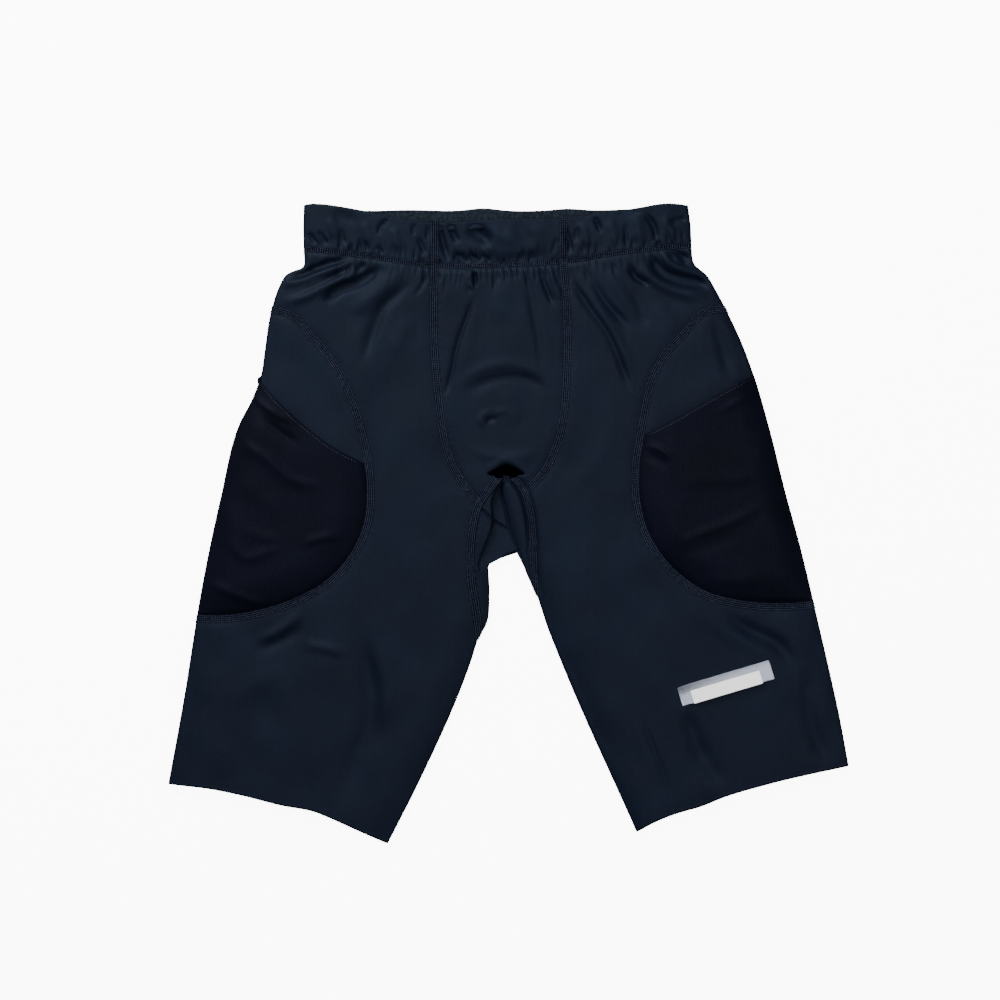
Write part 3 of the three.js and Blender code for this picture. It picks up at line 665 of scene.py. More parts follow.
def triangulated(outline: Points, spacing: float) -> tuple[Points, Points]:
    """Fills an outline with nearly equal triangles.

    Args:
        outline: the closed outline's points.
        spacing: the distance between neighbouring points.

    Returns:
        The points and the triangles, wound the same way.
    """
    closed = straight(np.vstack([outline, outline[:1]]), spacing)[:-1]
    low, high = closed.min(0), closed.max(0)
    xs = np.arange(low[0], high[0], spacing)
    ys = np.arange(low[1], high[1], spacing * 0.866)
    grid = np.stack(np.meshgrid(xs, ys), axis=-1).reshape(-1, 2)
    grid[:, 0] += np.where(np.round((grid[:, 1] - low[1]) / (spacing * 0.866)) % 2 == 1, spacing / 2, 0)
    grid = grid[inside(closed, grid)]
    grid = grid[np.abs(nearest(np.vstack([closed, closed[:1]]), grid).side) > 0.55 * spacing]
    points = [Vector(p) for p in np.vstack([closed, grid])]
    ring = list(range(len(closed)))
    found, _, faces, _, _, _ = delaunay_2d_cdt(points, [], [ring], 1, 1e-5)
    flat = np.array([tuple(p) for p in found])
    tris = np.array([f for f in faces if len(f) == 3])
    a, b, c = flat[tris[:, 0]], flat[tris[:, 1]], flat[tris[:, 2]]
    turn = (b[:, 0] - a[:, 0]) * (c[:, 1] - a[:, 1]) - (b[:, 1] - a[:, 1]) * (c[:, 0] - a[:, 0])
    tris = np.where((turn > 0)[:, None], tris, tris[:, ::-1])[np.abs(turn) > 1e-7]
    return flat, tris


def select_only(*pieces: bpy.types.Object) -> None:
    """Selects the given objects and nothing else, and makes the first one active."""
    bpy.ops.object.select_all(action="DESELECT")
    for piece in pieces:
        piece.select_set(True)
    bpy.context.view_layer.objects.active = pieces[0]


def mesh_object(name: str, points: Points, faces: Points | list[list[int]]) -> bpy.types.Object:
    """Makes a smooth-shaded object of points in millimetres."""
    mesh = bpy.data.meshes.new(name)
    mesh.from_pydata((points * MM).tolist(), [], [list(map(int, f)) for f in faces])
    mesh.update()
    piece = bpy.data.objects.new(name, mesh)
    bpy.context.scene.collection.objects.link(piece)
    mesh.polygons.foreach_set("use_smooth", [True] * len(mesh.polygons))
    return piece


def thickened(piece: bpy.types.Object, thickness: float) -> bpy.types.Object:
    """Gives a sheet its thickness below its face, as an applied modifier."""
    select_only(piece)
    wall = piece.modifiers.new("thickness", "SOLIDIFY")
    wall.thickness = thickness * MM
    wall.offset = -1
    bpy.ops.object.modifier_apply(modifier=wall.name)
    return piece


def cut_size(outline: Points) -> tuple[tuple[float, float], float]:
    """The width, length and area of a flat outline, in metres."""
    size = np.ptp(outline, axis=0) * MM
    x, y = outline[:, 0], outline[:, 1]
    area = abs(np.dot(x, np.roll(y, -1)) - np.dot(y, np.roll(x, -1))) / 2 * MM * MM
    return (float(size[0]), float(size[1])), float(area)


# ---- finishes ---------------------------------------------------------------------------------------

Colour = tuple[float, float, float]
Tree = bpy.types.NodeTree
Socket = bpy.types.NodeSocket


@dataclass(frozen=True)
class Finish:
    """What every finish has.

    Attributes:
        name: the material's name.
        colour: its base colour, linear.
        roughness: how dull its shine is.
    """

    name: str
    colour: Colour
    roughness: float = 0.5

    def material(self) -> bpy.types.Material:
        """Gives the finish's material, which is built at its first use."""
        if self.name in bpy.data.materials:
            return bpy.data.materials[self.name]
        material = bpy.data.materials.new(self.name)
        material.use_nodes = True
        self.dress(material.node_tree)
        return material

    def dress(self, tree: Tree) -> None:
        """Builds the finish's nodes."""
        raise NotImplementedError

    def texture(self, tree: Tree, kind: str, **values: float) -> bpy.types.Node:
        """Adds a texture on the object's own coordinates.

        Args:
            tree: the material's nodes.
            kind: the texture node's type.
            **values: its inputs' values, with _ for each space in an input's name.

        Returns:
            The texture node.
        """
        node = tree.nodes.new(kind)
        for key, value in values.items():
            node.inputs[key.replace("_", " ")].default_value = value
        place = tree.nodes.get("Texture Coordinate") or tree.nodes.new("ShaderNodeTexCoord")
        tree.links.new(place.outputs["Object"], node.inputs["Vector"])
        return node

    def raise_surface(self, tree: Tree, height: Socket, strength: float, distance: float) -> None:
        """Leads a height to the shader as a bump, with its distance in metres."""
        bump = tree.nodes.new("ShaderNodeBump")
        bump.inputs["Strength"].default_value = strength
        bump.inputs["Distance"].default_value = distance
        tree.links.new(height, bump.inputs["Height"])
        tree.links.new(bump.outputs["Normal"], tree.nodes["Principled BSDF"].inputs["Normal"])

    def vary_colour(self, tree: Tree, share: Socket, low: float, high: float) -> None:
        """Varies the base colour with a share, between two multiples of it."""
        tone = tree.nodes.new("ShaderNodeMix")
        tone.data_type = "RGBA"
        tone.inputs[6].default_value = (*(c * low for c in self.colour), 1)
        tone.inputs[7].default_value = (*(min(1, c * high) for c in self.colour), 1)
        tree.links.new(share, tone.inputs[0])
        tree.links.new(tone.outputs[2], tree.nodes["Principled BSDF"].inputs["Base Color"])

    def blended(self, tree: Tree, a: Socket, b: Socket, share: float) -> Socket:
        """Blends two values, the share being how much of the second there is."""
        mix = tree.nodes.new("ShaderNodeMix")
        mix.inputs["Factor"].default_value = share
        tree.links.new(a, mix.inputs["A"])
        tree.links.new(b, mix.inputs["B"])
        return mix.outputs["Result"]

    def spread(self, tree: Tree, value: Socket, **ends: float) -> Socket:
        """Maps a value from one range to another, each end 0 or 1 where it isn't given."""
        node = tree.nodes.new("ShaderNodeMapRange")
        for key, end in ends.items():
            node.inputs[key.replace("_", " ")].default_value = end
        tree.links.new(value, node.inputs["Value"])
        return node.outputs["Result"]


@dataclass(frozen=True)
class Knit(Finish):
    """A knitted cloth.

    Attributes:
        sheen: the weight of the soft light at its grazing edges.
        wale: the distance between its ribs, in millimetres.
        relief: how strongly the ribs and the fuzz show.
        mottle: how much the colour varies from place to place.
        shine: the specular level.
        fuzz: the share of fuzz, against ribs, in the relief.
        tint: the colour of its shine.
        patch: the scale of its uneven colour.
    """

    sheen: float = 0.25
    wale: float = 0.9
    relief: float = 0.25
    mottle: float = 0.3
    shine: float = 0.5
    fuzz: float = 0.5
    tint: Colour = (0.68, 0.8, 1.0)
    patch: float = 28

    def dress(self, tree: Tree) -> None:
        """Builds the ribs, the fuzz and the uneven colour and gloss."""
        inputs = tree.nodes["Principled BSDF"].inputs
        inputs["Sheen Weight"].default_value = self.sheen
        inputs["Sheen Roughness"].default_value = 0.4
        inputs["Sheen Tint"].default_value = (0.62, 0.72, 1.0, 1)
        inputs["Specular IOR Level"].default_value = self.shine
        inputs["Specular Tint"].default_value = (*self.tint, 1)
        ribs_per_unit = 2 * math.pi / 20 / (self.wale * MM)
        wales = self.texture(tree, "ShaderNodeTexWave", Scale=ribs_per_unit, Distortion=1.2, Detail=1.0,
                             Detail_Scale=2.0)
        fuzz = self.texture(tree, "ShaderNodeTexNoise", Scale=900, Detail=3, Roughness=0.65)
        patches = self.texture(tree, "ShaderNodeTexNoise", Scale=self.patch, Detail=5).outputs["Fac"]
        relief = self.blended(tree, wales.outputs["Fac"], fuzz.outputs["Fac"], self.fuzz)
        self.raise_surface(tree, relief, self.relief, 0.0004)
        grain = self.spread(tree, self.blended(tree, patches, relief, 0.45), From_Min=0.32, From_Max=0.68)
        self.vary_colour(tree, grain, 1 - self.mottle, 1 + self.mottle)
        gloss = self.spread(tree, patches, To_Min=self.roughness - 0.06, To_Max=self.roughness + 0.06)
        tree.links.new(gloss, inputs["Roughness"])


@dataclass(frozen=True)
class Plain(Finish):
    """A finish with one colour and a faint unevenness, such as film, foam or paint.

    Attributes:
        alpha: how much it covers what lies under it.
        metal: 1 where all that it sends back is a reflection.
        grain: the scale of its unevenness.
        relief: how strongly the unevenness shows.
    """

    alpha: float = 1.0
    metal: float = 0.0
    grain: float = 300
    relief: float = 0.05

    def dress(self, tree: Tree) -> None:
        """Builds the unevenness and sets what is the same all over."""
        inputs = tree.nodes["Principled BSDF"].inputs
        inputs["Alpha"].default_value = self.alpha
        inputs["Metallic"].default_value = self.metal
        inputs["Roughness"].default_value = self.roughness
        grain = self.texture(tree, "ShaderNodeTexNoise", Scale=self.grain, Detail=4).outputs["Fac"]
        self.raise_surface(tree, grain, self.relief, 0.0005)
        self.vary_colour(tree, grain, 0.94, 1.04)


NAVY_KNIT = Knit("navy_knit_cloth", (0.0018, 0.0033, 0.0090), roughness=0.58, sheen=0.01, relief=0.36,
                 shine=0.11)
# A near-black copy of the navy knit: painted shade for the cloth that sinks under the front panel's arch, so
# it reads dark from every side.
NAVY_PAINTED_SHADE = Knit("navy_knit_painted_shade", (0.0001, 0.0001, 0.0003), roughness=0.9, sheen=0.0, shine=0.0)
POCKET_MESH = Knit("pocket_mesh_cloth", (0.0011, 0.0013, 0.0044), roughness=0.6, sheen=0.01, wale=1.7,
                   relief=0.55, mottle=0.6, shine=0.065, tint=(0.72, 0.78, 1.0))
BRUSHED_ELASTIC = Knit("brushed_elastic", (0.0085, 0.0115, 0.017), roughness=0.85, sheen=0.04, wale=1.2,
                       relief=1.0, mottle=0.85, shine=0.05, fuzz=0.8, patch=420)
SEAM_CLOTH = Knit("seam_overlap", (0.0012, 0.0018, 0.0045), roughness=0.75, sheen=0.0, relief=0.2, shine=0.05)
THREAD = Knit("seam_thread_twist", (0.0125, 0.016, 0.034), roughness=0.5, sheen=0.03, wale=0.35, relief=0.3,
              mottle=0.35, shine=0.3, tint=(0.7, 0.8, 1.0))
CLEAR_FILM = Plain("clear_film_gloss", (0.27, 0.29, 0.345), 0.1, alpha=0.26, metal=1.0, grain=60, relief=0.03)
WHITE_TAB = Plain("white_tab_satin", (0.95, 0.95, 0.96), 0.5)
PAD_FOAM = Plain("pad_foam_skin", (0.035, 0.038, 0.044), 0.8, grain=700, relief=0.5)


# ---- cloth pieces -----------------------------------------------------------------------------------

@dataclass
class ClothPiece:
    """One piece of cloth, cut from its flat outline and laid where it belongs.

    Attributes:
        name: the object's name.
        node: the CAD node that it stands for.
        outline: its flat outline.
        place: what puts its flat points in space.
        finish: its cloth.
        slot: a material slot's name; not used.
        spacing: the distance between its mesh points.
        thickness: the cloth's thickness.
        held: how it is held; not used.
        slack: the cut's size over the outline's, where folds take cloth up; not used.
        painted_shade: whether its faces that sink under the arch get the near-black knit, painted shade in
            place of their own cloth.
    """

    name: str
    node: str
    outline: Points
    place: Placement
    finish: Knit
    slot: str
    spacing: float = 1.6
    thickness: float = 0.8
    held: str = "laid"
    slack: float = 1.0
    painted_shade: bool = False

    def build(self) -> bpy.types.Object:
        flat, tris = triangulated(self.outline, self.spacing)
        piece = mesh_object(self.name, self.place(flat), tris)
        thickened(piece, self.thickness)
        piece.data.materials.append(self.finish.material())
        # Faces that sink under the arch are painted near-black: painted shade, not shadow from the lights.
        if self.painted_shade:
            piece.data.materials.append(NAVY_PAINTED_SHADE.material())
            centres = np.array([tuple(face.center) for face in piece.data.polygons])[:, :2] / MM
            piece.data.polygons.foreach_set("material_index", (tuck(centres) > 0.28).astype(int))
        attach(piece, SHORTS)
        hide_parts(self.node)
        (width, length), area = cut_size(self.outline)
        LOG.info("%s: %d faces", self.name, len(piece.data.polygons))
        return piece


@dataclass
class Legs:
    """The navy body of the shorts: leg, hip and front panels, gusset and lining."""

    spacing: float = 1.7
    back_face: float = 1.3
    back_inset: float = 7.2

    def on_front(self, *keys: str) -> Placement:
        """A placement on the front layer that turns round the named edges."""
        return lambda flat: SURFACE.turned(flat, SURFACE.height(flat), keys)

    def front_outline(self, half: HalfPattern) -> Points:
        """The leg panel's front, with the cloth that wraps round its two folded edges."""
        out = half.inward
        upper = half.wrapped(half.outer_between(FAR, half.hip_top))
        lower = half.wrapped(half.outer_between(half.hip_foot, -FAR))
        inner = half.inner[half.inner[:, 1] <= half.inseam[0][1]]
        turned_inner = moved(inner, -out * WRAP)
        junction = half.front_seam[-1]
        inseam = half.inseam[half.inseam[:, 1] < junction[1]]
        waist = WAIST_SEAM[(WAIST_SEAM[:, 0] - half.front_seam[0][0]) * -out > 0.5]
        waist = waist if out < 0 else waist[::-1]
        hip = extended(half.hip_seam, WRAP, WRAP)
        return np.vstack([upper, hip, lower, half.hem, turned_inner, inseam[2:], half.front_seam[::-1],
                          waist[:-1]])

    def hip_outline(self, half: HalfPattern, wrap: float) -> Points:
        """The outline between the hip seam and the side, carried out past the side by the wrap."""
        side = moved(half.outer_between(half.hip_top - 1, half.hip_foot + 1), -half.inward * wrap)
        hip = extended(half.hip_seam, wrap, wrap) if wrap else half.hip_seam
        return np.vstack([hip, side[::-1]])

    def front_panel_outline(self) -> Points:
        """The pouch panel between the two front seams, open under the arch."""
        waist = WAIST_SEAM[(WAIST_SEAM[:, 0] > -58.5) & (WAIST_SEAM[:, 0] < 43.4)]
        left_tip = LEFT.inseam[(LEFT.inseam[:, 1] > 26) & (LEFT.inseam[:, 1] < 37)]
        right_tip = RIGHT.inseam[(RIGHT.inseam[:, 1] > 19) & (RIGHT.inseam[:, 1] < 37)]
        top_of_arch = [(7.5, 42), (3, 46.4), (-3, 48), (-9, 45.6), (-12, 42.6)]
        return np.vstack([waist, LEFT.front_seam, left_tip, top_of_arch, right_tip[::-1],
                          RIGHT.front_seam[::-1]])

    def on_front_panel(self, flat: Points) -> Points:
        """Places the front panel, with the tuck under its arch."""
        z = SURFACE.height(flat)
        near = nearest(ARCH, flat)
        share = near.along / arc_lengths(ARCH)[-1]
        ends = ease(share / 0.3) * ease((1 - share) / 0.3)
        z -= 6.5 * tuck(flat)
        z += np.where(near.side > 0, 1.0 * ends * np.exp(-(((near.side - 2.5) / 3) ** 2)), 0)
        return np.column_stack([flat, z])

    def gusset_outline(self) -> Points:
        """The cloth between the two inseams, with what wraps round the inner legs."""
        right = RIGHT.inner[RIGHT.inner[:, 1] > RIGHT.inseam[0][1] - 1]
        left = LEFT.inner[LEFT.inner[:, 1] > LEFT.inseam[0][1] - 1]
        wide = WRAP * 0.6
        under = moved(GAP_TOP, -3.0)[2:-2]
        behind_arch = [(-13, 39), (-14, 47), (-3, 54), (9, 47), (9.5, 39)]
        return np.vstack([RIGHT.inseam, behind_arch, LEFT.inseam[::-1], moved(left, wide)[:-2],
                          GAP_TOP[-1:], under[::-1], GAP_TOP[:1], moved(right, -wide)[::-1][2:]])

    def on_gusset(self, flat: Points) -> Points:
        """Places the gusset: two turned-in inner legs over the seat's cloth, with a deep fold between."""
        legs = SURFACE.height(flat)
        y = flat[:, 1]
        flap_line = [(-4, 38), (-13.2, 18), (-12.8, 0.2), (-19, -18), (-23.8, -31.4), (-24, -60)]
        fold_line = [(-5.2, 42), (-6.2, 30), (-2, 11), (2.2, -6.5), (7.6, -21), (10, -30)]
        crossing_line = [(-21.5, 11.5), (-12.4, 2.8), (2.4, -6.6)]
        flap, fold, crossing = (
            nearest(smooth(line, 1.5), flat) for line in (flap_line, fold_line, crossing_line))
        seam = np.abs(nearest(LEFT.inseam, flat).side)
        seat = 3.0 + 0.04 * (20 - y)
        edge = legs - 0.5
        z = edge + (seat - edge) * ease((flap.side + 0.5) / 1.0) * ease((y + 45) / 20)
        crown = 4.6 + 3.0 * swell(fold.side / 8) - 2.0 * np.exp(-(((seam - 3.8) / 1.6) ** 2))
        crown += (edge - crown) * ease((3.2 - seam) / 2.4)
        crown += (legs - crown) * ease((-10 - y) / 30)
        z += (crown - z) * ease((fold.side + 0.5) / 1.0)
        z -= 2.2 * np.exp(-((crossing.side / 0.7) ** 2)) * (fold.side < -0.5)
        z -= 2.4 * np.exp(-(((fold.side + 0.5) / 0.7) ** 2)) * ease((30 - y) / 8)
        z += (1.8 - z) * ease((y - 30) / 9)
        return SURFACE.turned(flat, np.maximum(z, 1.8), ("inner_right", "inner_left", "gap_top"))

    def back_silhouette(self, half: HalfPattern) -> Points:
        """One leg panel's back, which meets the cloth that wraps round from the front."""
        out = half.inward
        side = moved(half.outer, out * self.back_inset)
        inner = moved(half.inner, out * self.back_inset)[:-2]
        waist = WAIST_SEAM[(WAIST_SEAM[:, 0] - CENTRE_X) * -out > 0.5]
        waist = waist[8:] if out > 0 else waist[:-8]
        waist = waist if out < 0 else waist[::-1]
        hem = half.hem[5:-5]
        hem = np.column_stack([hem[:, 0], hem[:, 1] - 1.6 * np.exp(-(((hem[:, 0] - 160) / 26) ** 2))])
        centre = [(CENTRE_X - out * 0.1, -25.5), (CENTRE_X - out * 0.1, 206)]
        return np.vstack([side, hem, inner, centre, waist[1:-1]])

    def on_back(self, lift: float = 0.0) -> Placement:
        """A placement on the back layer."""
        return lambda flat: np.column_stack(
            [flat, self.back_face + lift + 0.35 * np.clip(SURFACE.rough(flat * 1.3), -1, 1)])

    def build(self) -> None:
        """Builds every navy panel below the waistband."""
        for side, half in HALVES.items():
            word = side.value
            ClothPiece(f"leg_cloth_front_{word}", f"leg_panel_front_{word}", self.front_outline(half),
                       self.on_front(f"outer_{word}", f"inner_{word}"), NAVY_KNIT, "navy_knit",
                       self.spacing).build()
            ClothPiece(f"hip_cloth_front_{word}", f"hip_panel_front_{word}", self.hip_outline(half, WRAP),
                       self.on_front(f"outer_{word}"), NAVY_KNIT, "navy_knit", self.spacing).build()
            ClothPiece(f"leg_cloth_back_{word}", f"leg_panel_back_{word}", self.back_silhouette(half),
                       self.on_back(), NAVY_KNIT, "navy_knit", 3.4).build()
            ClothPiece(f"hip_cloth_back_{word}", f"hip_panel_back_{word}", self.hip_outline(half, 0),
                       self.on_back(0.9), NAVY_KNIT, "navy_knit", 3.4, 0.6).build()
        ClothPiece("front_panel_cloth", "front_panel", self.front_panel_outline(), self.on_front_panel,
                   NAVY_KNIT, "navy_knit", 1.1, painted_shade=True).build()
        ClothPiece("crotch_gusset_cloth", "crotch_gusset", self.gusset_outline(), self.on_gusset,
                   NAVY_KNIT, "navy_knit", 1.0, slack=1.25, painted_shade=True).build()
        lining = smooth([(-54, 198), (-8, 199), (38, 200), (40, 150), (36, 92), (24, 62), (-2, 56), (-34, 62),
                         (-48, 92), (-54, 150), (-54, 198)])[:-1]
        ClothPiece("front_lining_cloth", "front_panel_lining", lining,
                   lambda flat: np.column_stack([flat, SURFACE.height(flat) - 1.4]),
                   NAVY_KNIT, "navy_knit", 2.6, 0.6).build()


@dataclass
class Waistband:
    """The gathered waistband with its elastic, front and back."""

    spacing: float = 1.15

    def outline(self, low: float, high: float, top: Points, rise: float) -> Points:
        """The band between two places across it, with the cloth turned over its top."""
        seam = WAIST_SEAM[(WAIST_SEAM[:, 0] > low) & (WAIST_SEAM[:, 0] < high)]
        edge = top[(top[:, 0] > low) & (top[:, 0] < high)]
        parts = [seam, moved(edge, rise)[::-1]]
        if high > 140:
            parts[1] = parts[1][5:]
            parts.insert(1, LEFT.band_side[:1])
            parts.insert(1, moved(LEFT.band_side[6:-1], WRAP)[::-1])
        if low < -160:
            parts[1] = parts[1][:-5]
            parts.append(RIGHT.band_side[:1])
            parts.append(moved(RIGHT.band_side[6:-1], -WRAP))
        return np.vstack(parts)

    def build(self) -> None:
        """Builds the band's three front lengths, its back and both elastics."""
        spans = {"right": (-164.5, -59.0), "center": (-59.0, 43.8), "left": (43.8, 150.0)}
        for word, (low, high) in spans.items():
            keys = ("band_top",) if word == "center" else ("band_top", f"band_{word}")
            ClothPiece(f"waistband_cloth_{word}", f"waistband_front_{word}",
                       self.outline(low, high, BAND_TOP, 7.0),
                       lambda flat, keys=keys: SURFACE.turned(flat, SURFACE.height(flat), keys),
                       NAVY_KNIT, "navy_knit", self.spacing, 0.9, "gathered").build()
        back = np.vstack([WAIST_SEAM[3:-3], BACK_BAND_TOP[::-1]])
        ClothPiece("waistband_cloth_back", "waistband_back", back, self.on_back(1.3), NAVY_KNIT, "navy_knit",
                   2.0, 0.9, "gathered").build()
        shown = np.vstack([moved(WAIST_SEAM[18:-18], 2), moved(BACK_BAND_TOP[14:-14], 0.8)[::-1]])
        ClothPiece("elastic_back_band", "waistband_elastic_back", shown, self.on_back(3.0, 0.35),
                   BRUSHED_ELASTIC, "waist_elastic", 1.3, 1.3, "gathered").build()
        hidden = np.vstack([moved(WAIST_SEAM[18:-18], 2.5), moved(BAND_TOP[16:-16], -3)[::-1]])
        ClothPiece("elastic_front_band", "waistband_elastic_front", hidden,
                   lambda flat: np.column_stack([flat, SURFACE.height(flat, 0.9) - 1.5]), BRUSHED_ELASTIC,
                   "waist_elastic", 1.8, 0.8, "gathered").build()

    def on_back(self, face: float, ripple: float = 0.2) -> Placement:
        """A placement on the back of the band, with its gathers."""
        return lambda flat: np.column_stack([
            flat, face + ripple * np.sin(flat[:, 0] * 1.45 + 2.1 * np.sin(flat[:, 0] / 9))
            * np.cos(flat[:, 1] * 0.5) + 0.3 * np.sin(flat[:, 0] / 13 + 1)])


@dataclass
class Pocket:
    """A mesh pocket on one hip, with its folded mouth and the foam pad inside."""

    half: HalfPattern
    rise: float = 26.0
    room: float = 7.0
    spacing: float = 1.5
    mouth_radius: float = 0.8
    mouth_reach: float = 8.0
    pad_tilt: float = 14.5
    pad_round: float = 14.0
    pad_corners: tuple[tuple[float, float], ...] = (
        (-204, 30), (-142, 2), (-142, -58), (-162, -80), (-204, -92))
    channel_pitch: tuple[float, float] = (20.0, 22.0)

    def outline(self) -> Points:
        """The pocket between its mouth, the hip seam and the side, with its folded edges."""
        out = self.half.inward
        hip = self.half.hip_seam
        foot = hip[hip[:, 1] < self.half.mouth[-1][1] - 2]
        top = self.half.mouth[0][1] - 8
        side = moved(self.half.outer_between(top, self.half.hip_foot + 1), -out * WRAP * 0.8)
        foot = extended(foot, 0, WRAP * 0.8)
        mouth = moved(self.half.mouth, out * 3.6)[4:]
        side = side[side[:, 1] < top]
        return np.vstack([self.half.mouth[:1], mouth, foot, side[::-1]])

    def height(self, flat: Points) -> Points:
        """The height of the pocket's face over the front layer."""
        seam = np.abs(nearest(self.half.hip_seam[::2], flat).side)
        side = nearest(extended(self.half.outer[::2], 10, 20), flat).side * self.half.inward
        lift = swell((seam - 3.2) / self.rise) * swell((side + 1) / 24)
        below = SURFACE.height(flat)
        below += np.maximum(SURFACE.height(flat, 0.25) - below, 0) * ease((seam - 3) / 5)
        z = below + 0.1 + 0.9 * ease((seam - 2) / 3) + self.room * lift
        folds = sum(fold.lift(flat) for fold in POCKET_FOLDS)
        return z + folds * ease((seam - 2) / 8) * ease(side / 8)

    def place(self, flat: Points) -> Points:
        """Places the pocket's points and folds its mouth under."""
        word = self.half.side.value
        z = self.height(flat)
        out = SURFACE.turned(flat, z, (f"outer_{word}",))
        radius = self.mouth_radius
        near = nearest(extended(self.half.mouth, 14, 6), flat)
        s = -near.side * self.half.inward
        d, drop = rolled(s, radius, self.mouth_reach)
        shift = (self.half.inward * (s - d))[:, None] * near.normal
        now = s < self.mouth_reach + math.pi * radius / 2
        out[now, :2] += shift[now]
        out[now, 2] -= drop[now]
        return out

    def build(self) -> None:
        """Builds the pocket's front, back, mouth and pad."""
        word = self.half.side.value
        ClothPiece(f"pocket_cloth_front_{word}", f"pocket_front_{word}", self.outline(), self.place,
                   POCKET_MESH, "pocket_mesh", self.spacing, 0.6).build()
        legs = Legs()
        hip = legs.hip_outline(self.half, 0)
        back = hip[hip[:, 1] < 116]
        ClothPiece(f"pocket_cloth_back_{word}", f"pocket_back_{word}", back, legs.on_back(-0.75), POCKET_MESH,
                   "pocket_mesh", 3.4, 0.45).build()
        self.build_pad(word)

    def build_pad(self, word: str) -> None:
        """Makes the foam pad: a crowned slab with moulded channels on its outer face."""
        low, high = (np.array(c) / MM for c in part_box(f"hip_pad_{word}"))
        middle = (low[2] + high[2]) / 2
        tilt = math.radians(self.pad_tilt) * (-self.half.inward)
        mirror = 1 if self.half.side is Side.RIGHT else -1
        corners = np.array([(mirror * x, y) for x, y in self.pad_corners])
        c, s = math.cos(tilt), math.sin(tilt)
        outline = self.rounded(corners, self.pad_round) @ np.array([[c, s], [-s, c]])
        flat, tris = triangulated(outline, 2.2)
        away = np.abs(nearest(np.vstack([outline, outline[:1]]), flat).side)
        local = flat @ np.array([[c, -s], [s, c]])
        across, along = self.channel_pitch
        channel = np.minimum(np.abs((local[:, 0] + 173 * self.half.inward) % across - across / 2),
                             np.abs((local[:, 1] + 31) % along - along / 2))
        groove = 0.55 * np.exp(-((channel / 1.3) ** 2)) * ease((away - 5) / 4)
        crown = swell(away / 9)
        top = middle + 0.3 + 1.35 * crown - groove
        under = middle - 0.3 - 1.35 * crown
        pad = mesh_object(f"foam_pad_{word}", *self.closed_slab(flat, tris, top, under))
        pad.data.materials.append(PAD_FOAM.material())
        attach(pad, f"pad_{word}")
        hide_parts(f"hip_pad_{word}")
        LOG.info("%s: %d faces", pad.name, len(pad.data.polygons))

    @staticmethod
    def closed_slab(flat: Points, tris: Points, top: Points, under: Points) -> tuple[Points, list[list[int]]]:
        """Closes a flat shape's upper and lower faces with a wall round the rim.

        Args:
            flat: the shape's points.
            tris: its triangles.
            top: the upper face's heights.
            under: the lower face's heights.

        Returns:
            The slab's points and faces.
        """
        rim = len(flat)
        edges: dict[tuple[int, int], None] = {}
        for tri in tris:
            for a, b in zip(tri, np.roll(tri, -1)):
                edges[(int(a), int(b))] = None
        border = [(a, b) for a, b in edges if (b, a) not in edges]
        faces = [list(t) for t in tris] + [[int(v) + rim for v in t[::-1]] for t in tris]
        faces += [[b, a, a + rim, b + rim] for a, b in border]
        return np.vstack([np.column_stack([flat, top]), np.column_stack([flat, under])]), faces

    @staticmethod
    def rounded(corners: Points, radius: float) -> Points:
        """An outline with each corner drawn as a soft arc."""
        out = []
        for k, corner in enumerate(corners):
            before, after = corners[k - 1], corners[(k + 1) % len(corners)]
            a = corner + (before - corner) / np.linalg.norm(before - corner) * radius
            b = corner + (after - corner) / np.linalg.norm(after - corner) * radius
            for t in np.linspace(0, 1, 7):
                out.append((1 - t) ** 2 * a + 2 * t * (1 - t) * corner + t * t * b)
        return np.array(out)


# ---- seams ------------------------------------------------------------------------------------------

@dataclass(frozen=True)
class StitchSizes:
    """The measures of a kind of stitching.

    Attributes:
        columns: where each row of loops runs across the seam.
        pitch: the distance between a row's loops.
        ribbon: the width of the cloth's overlap, or 0 where there is none.
        loop: a loop's size across the seam, along it and off the cloth.
    """

    columns: tuple[float, ...]
    pitch: float
    ribbon: float
    loop: tuple[float, float, float]


class Stitch(Enum):
    """The kinds of stitching."""

    FLATLOCK = StitchSizes((-2.4, -0.8, 0.8, 2.4), 1.4, 6.2, (0.95, 1.7, 0.85))
    COVERSTITCH = StitchSizes((-1.2, 0.0, 1.2), 1.7, 3.6, (1.15, 1.2, 0.85))
    TOPSTITCH = StitchSizes((0.0,), 2.4, 0.0, (0.7, 2.2, 0.8))


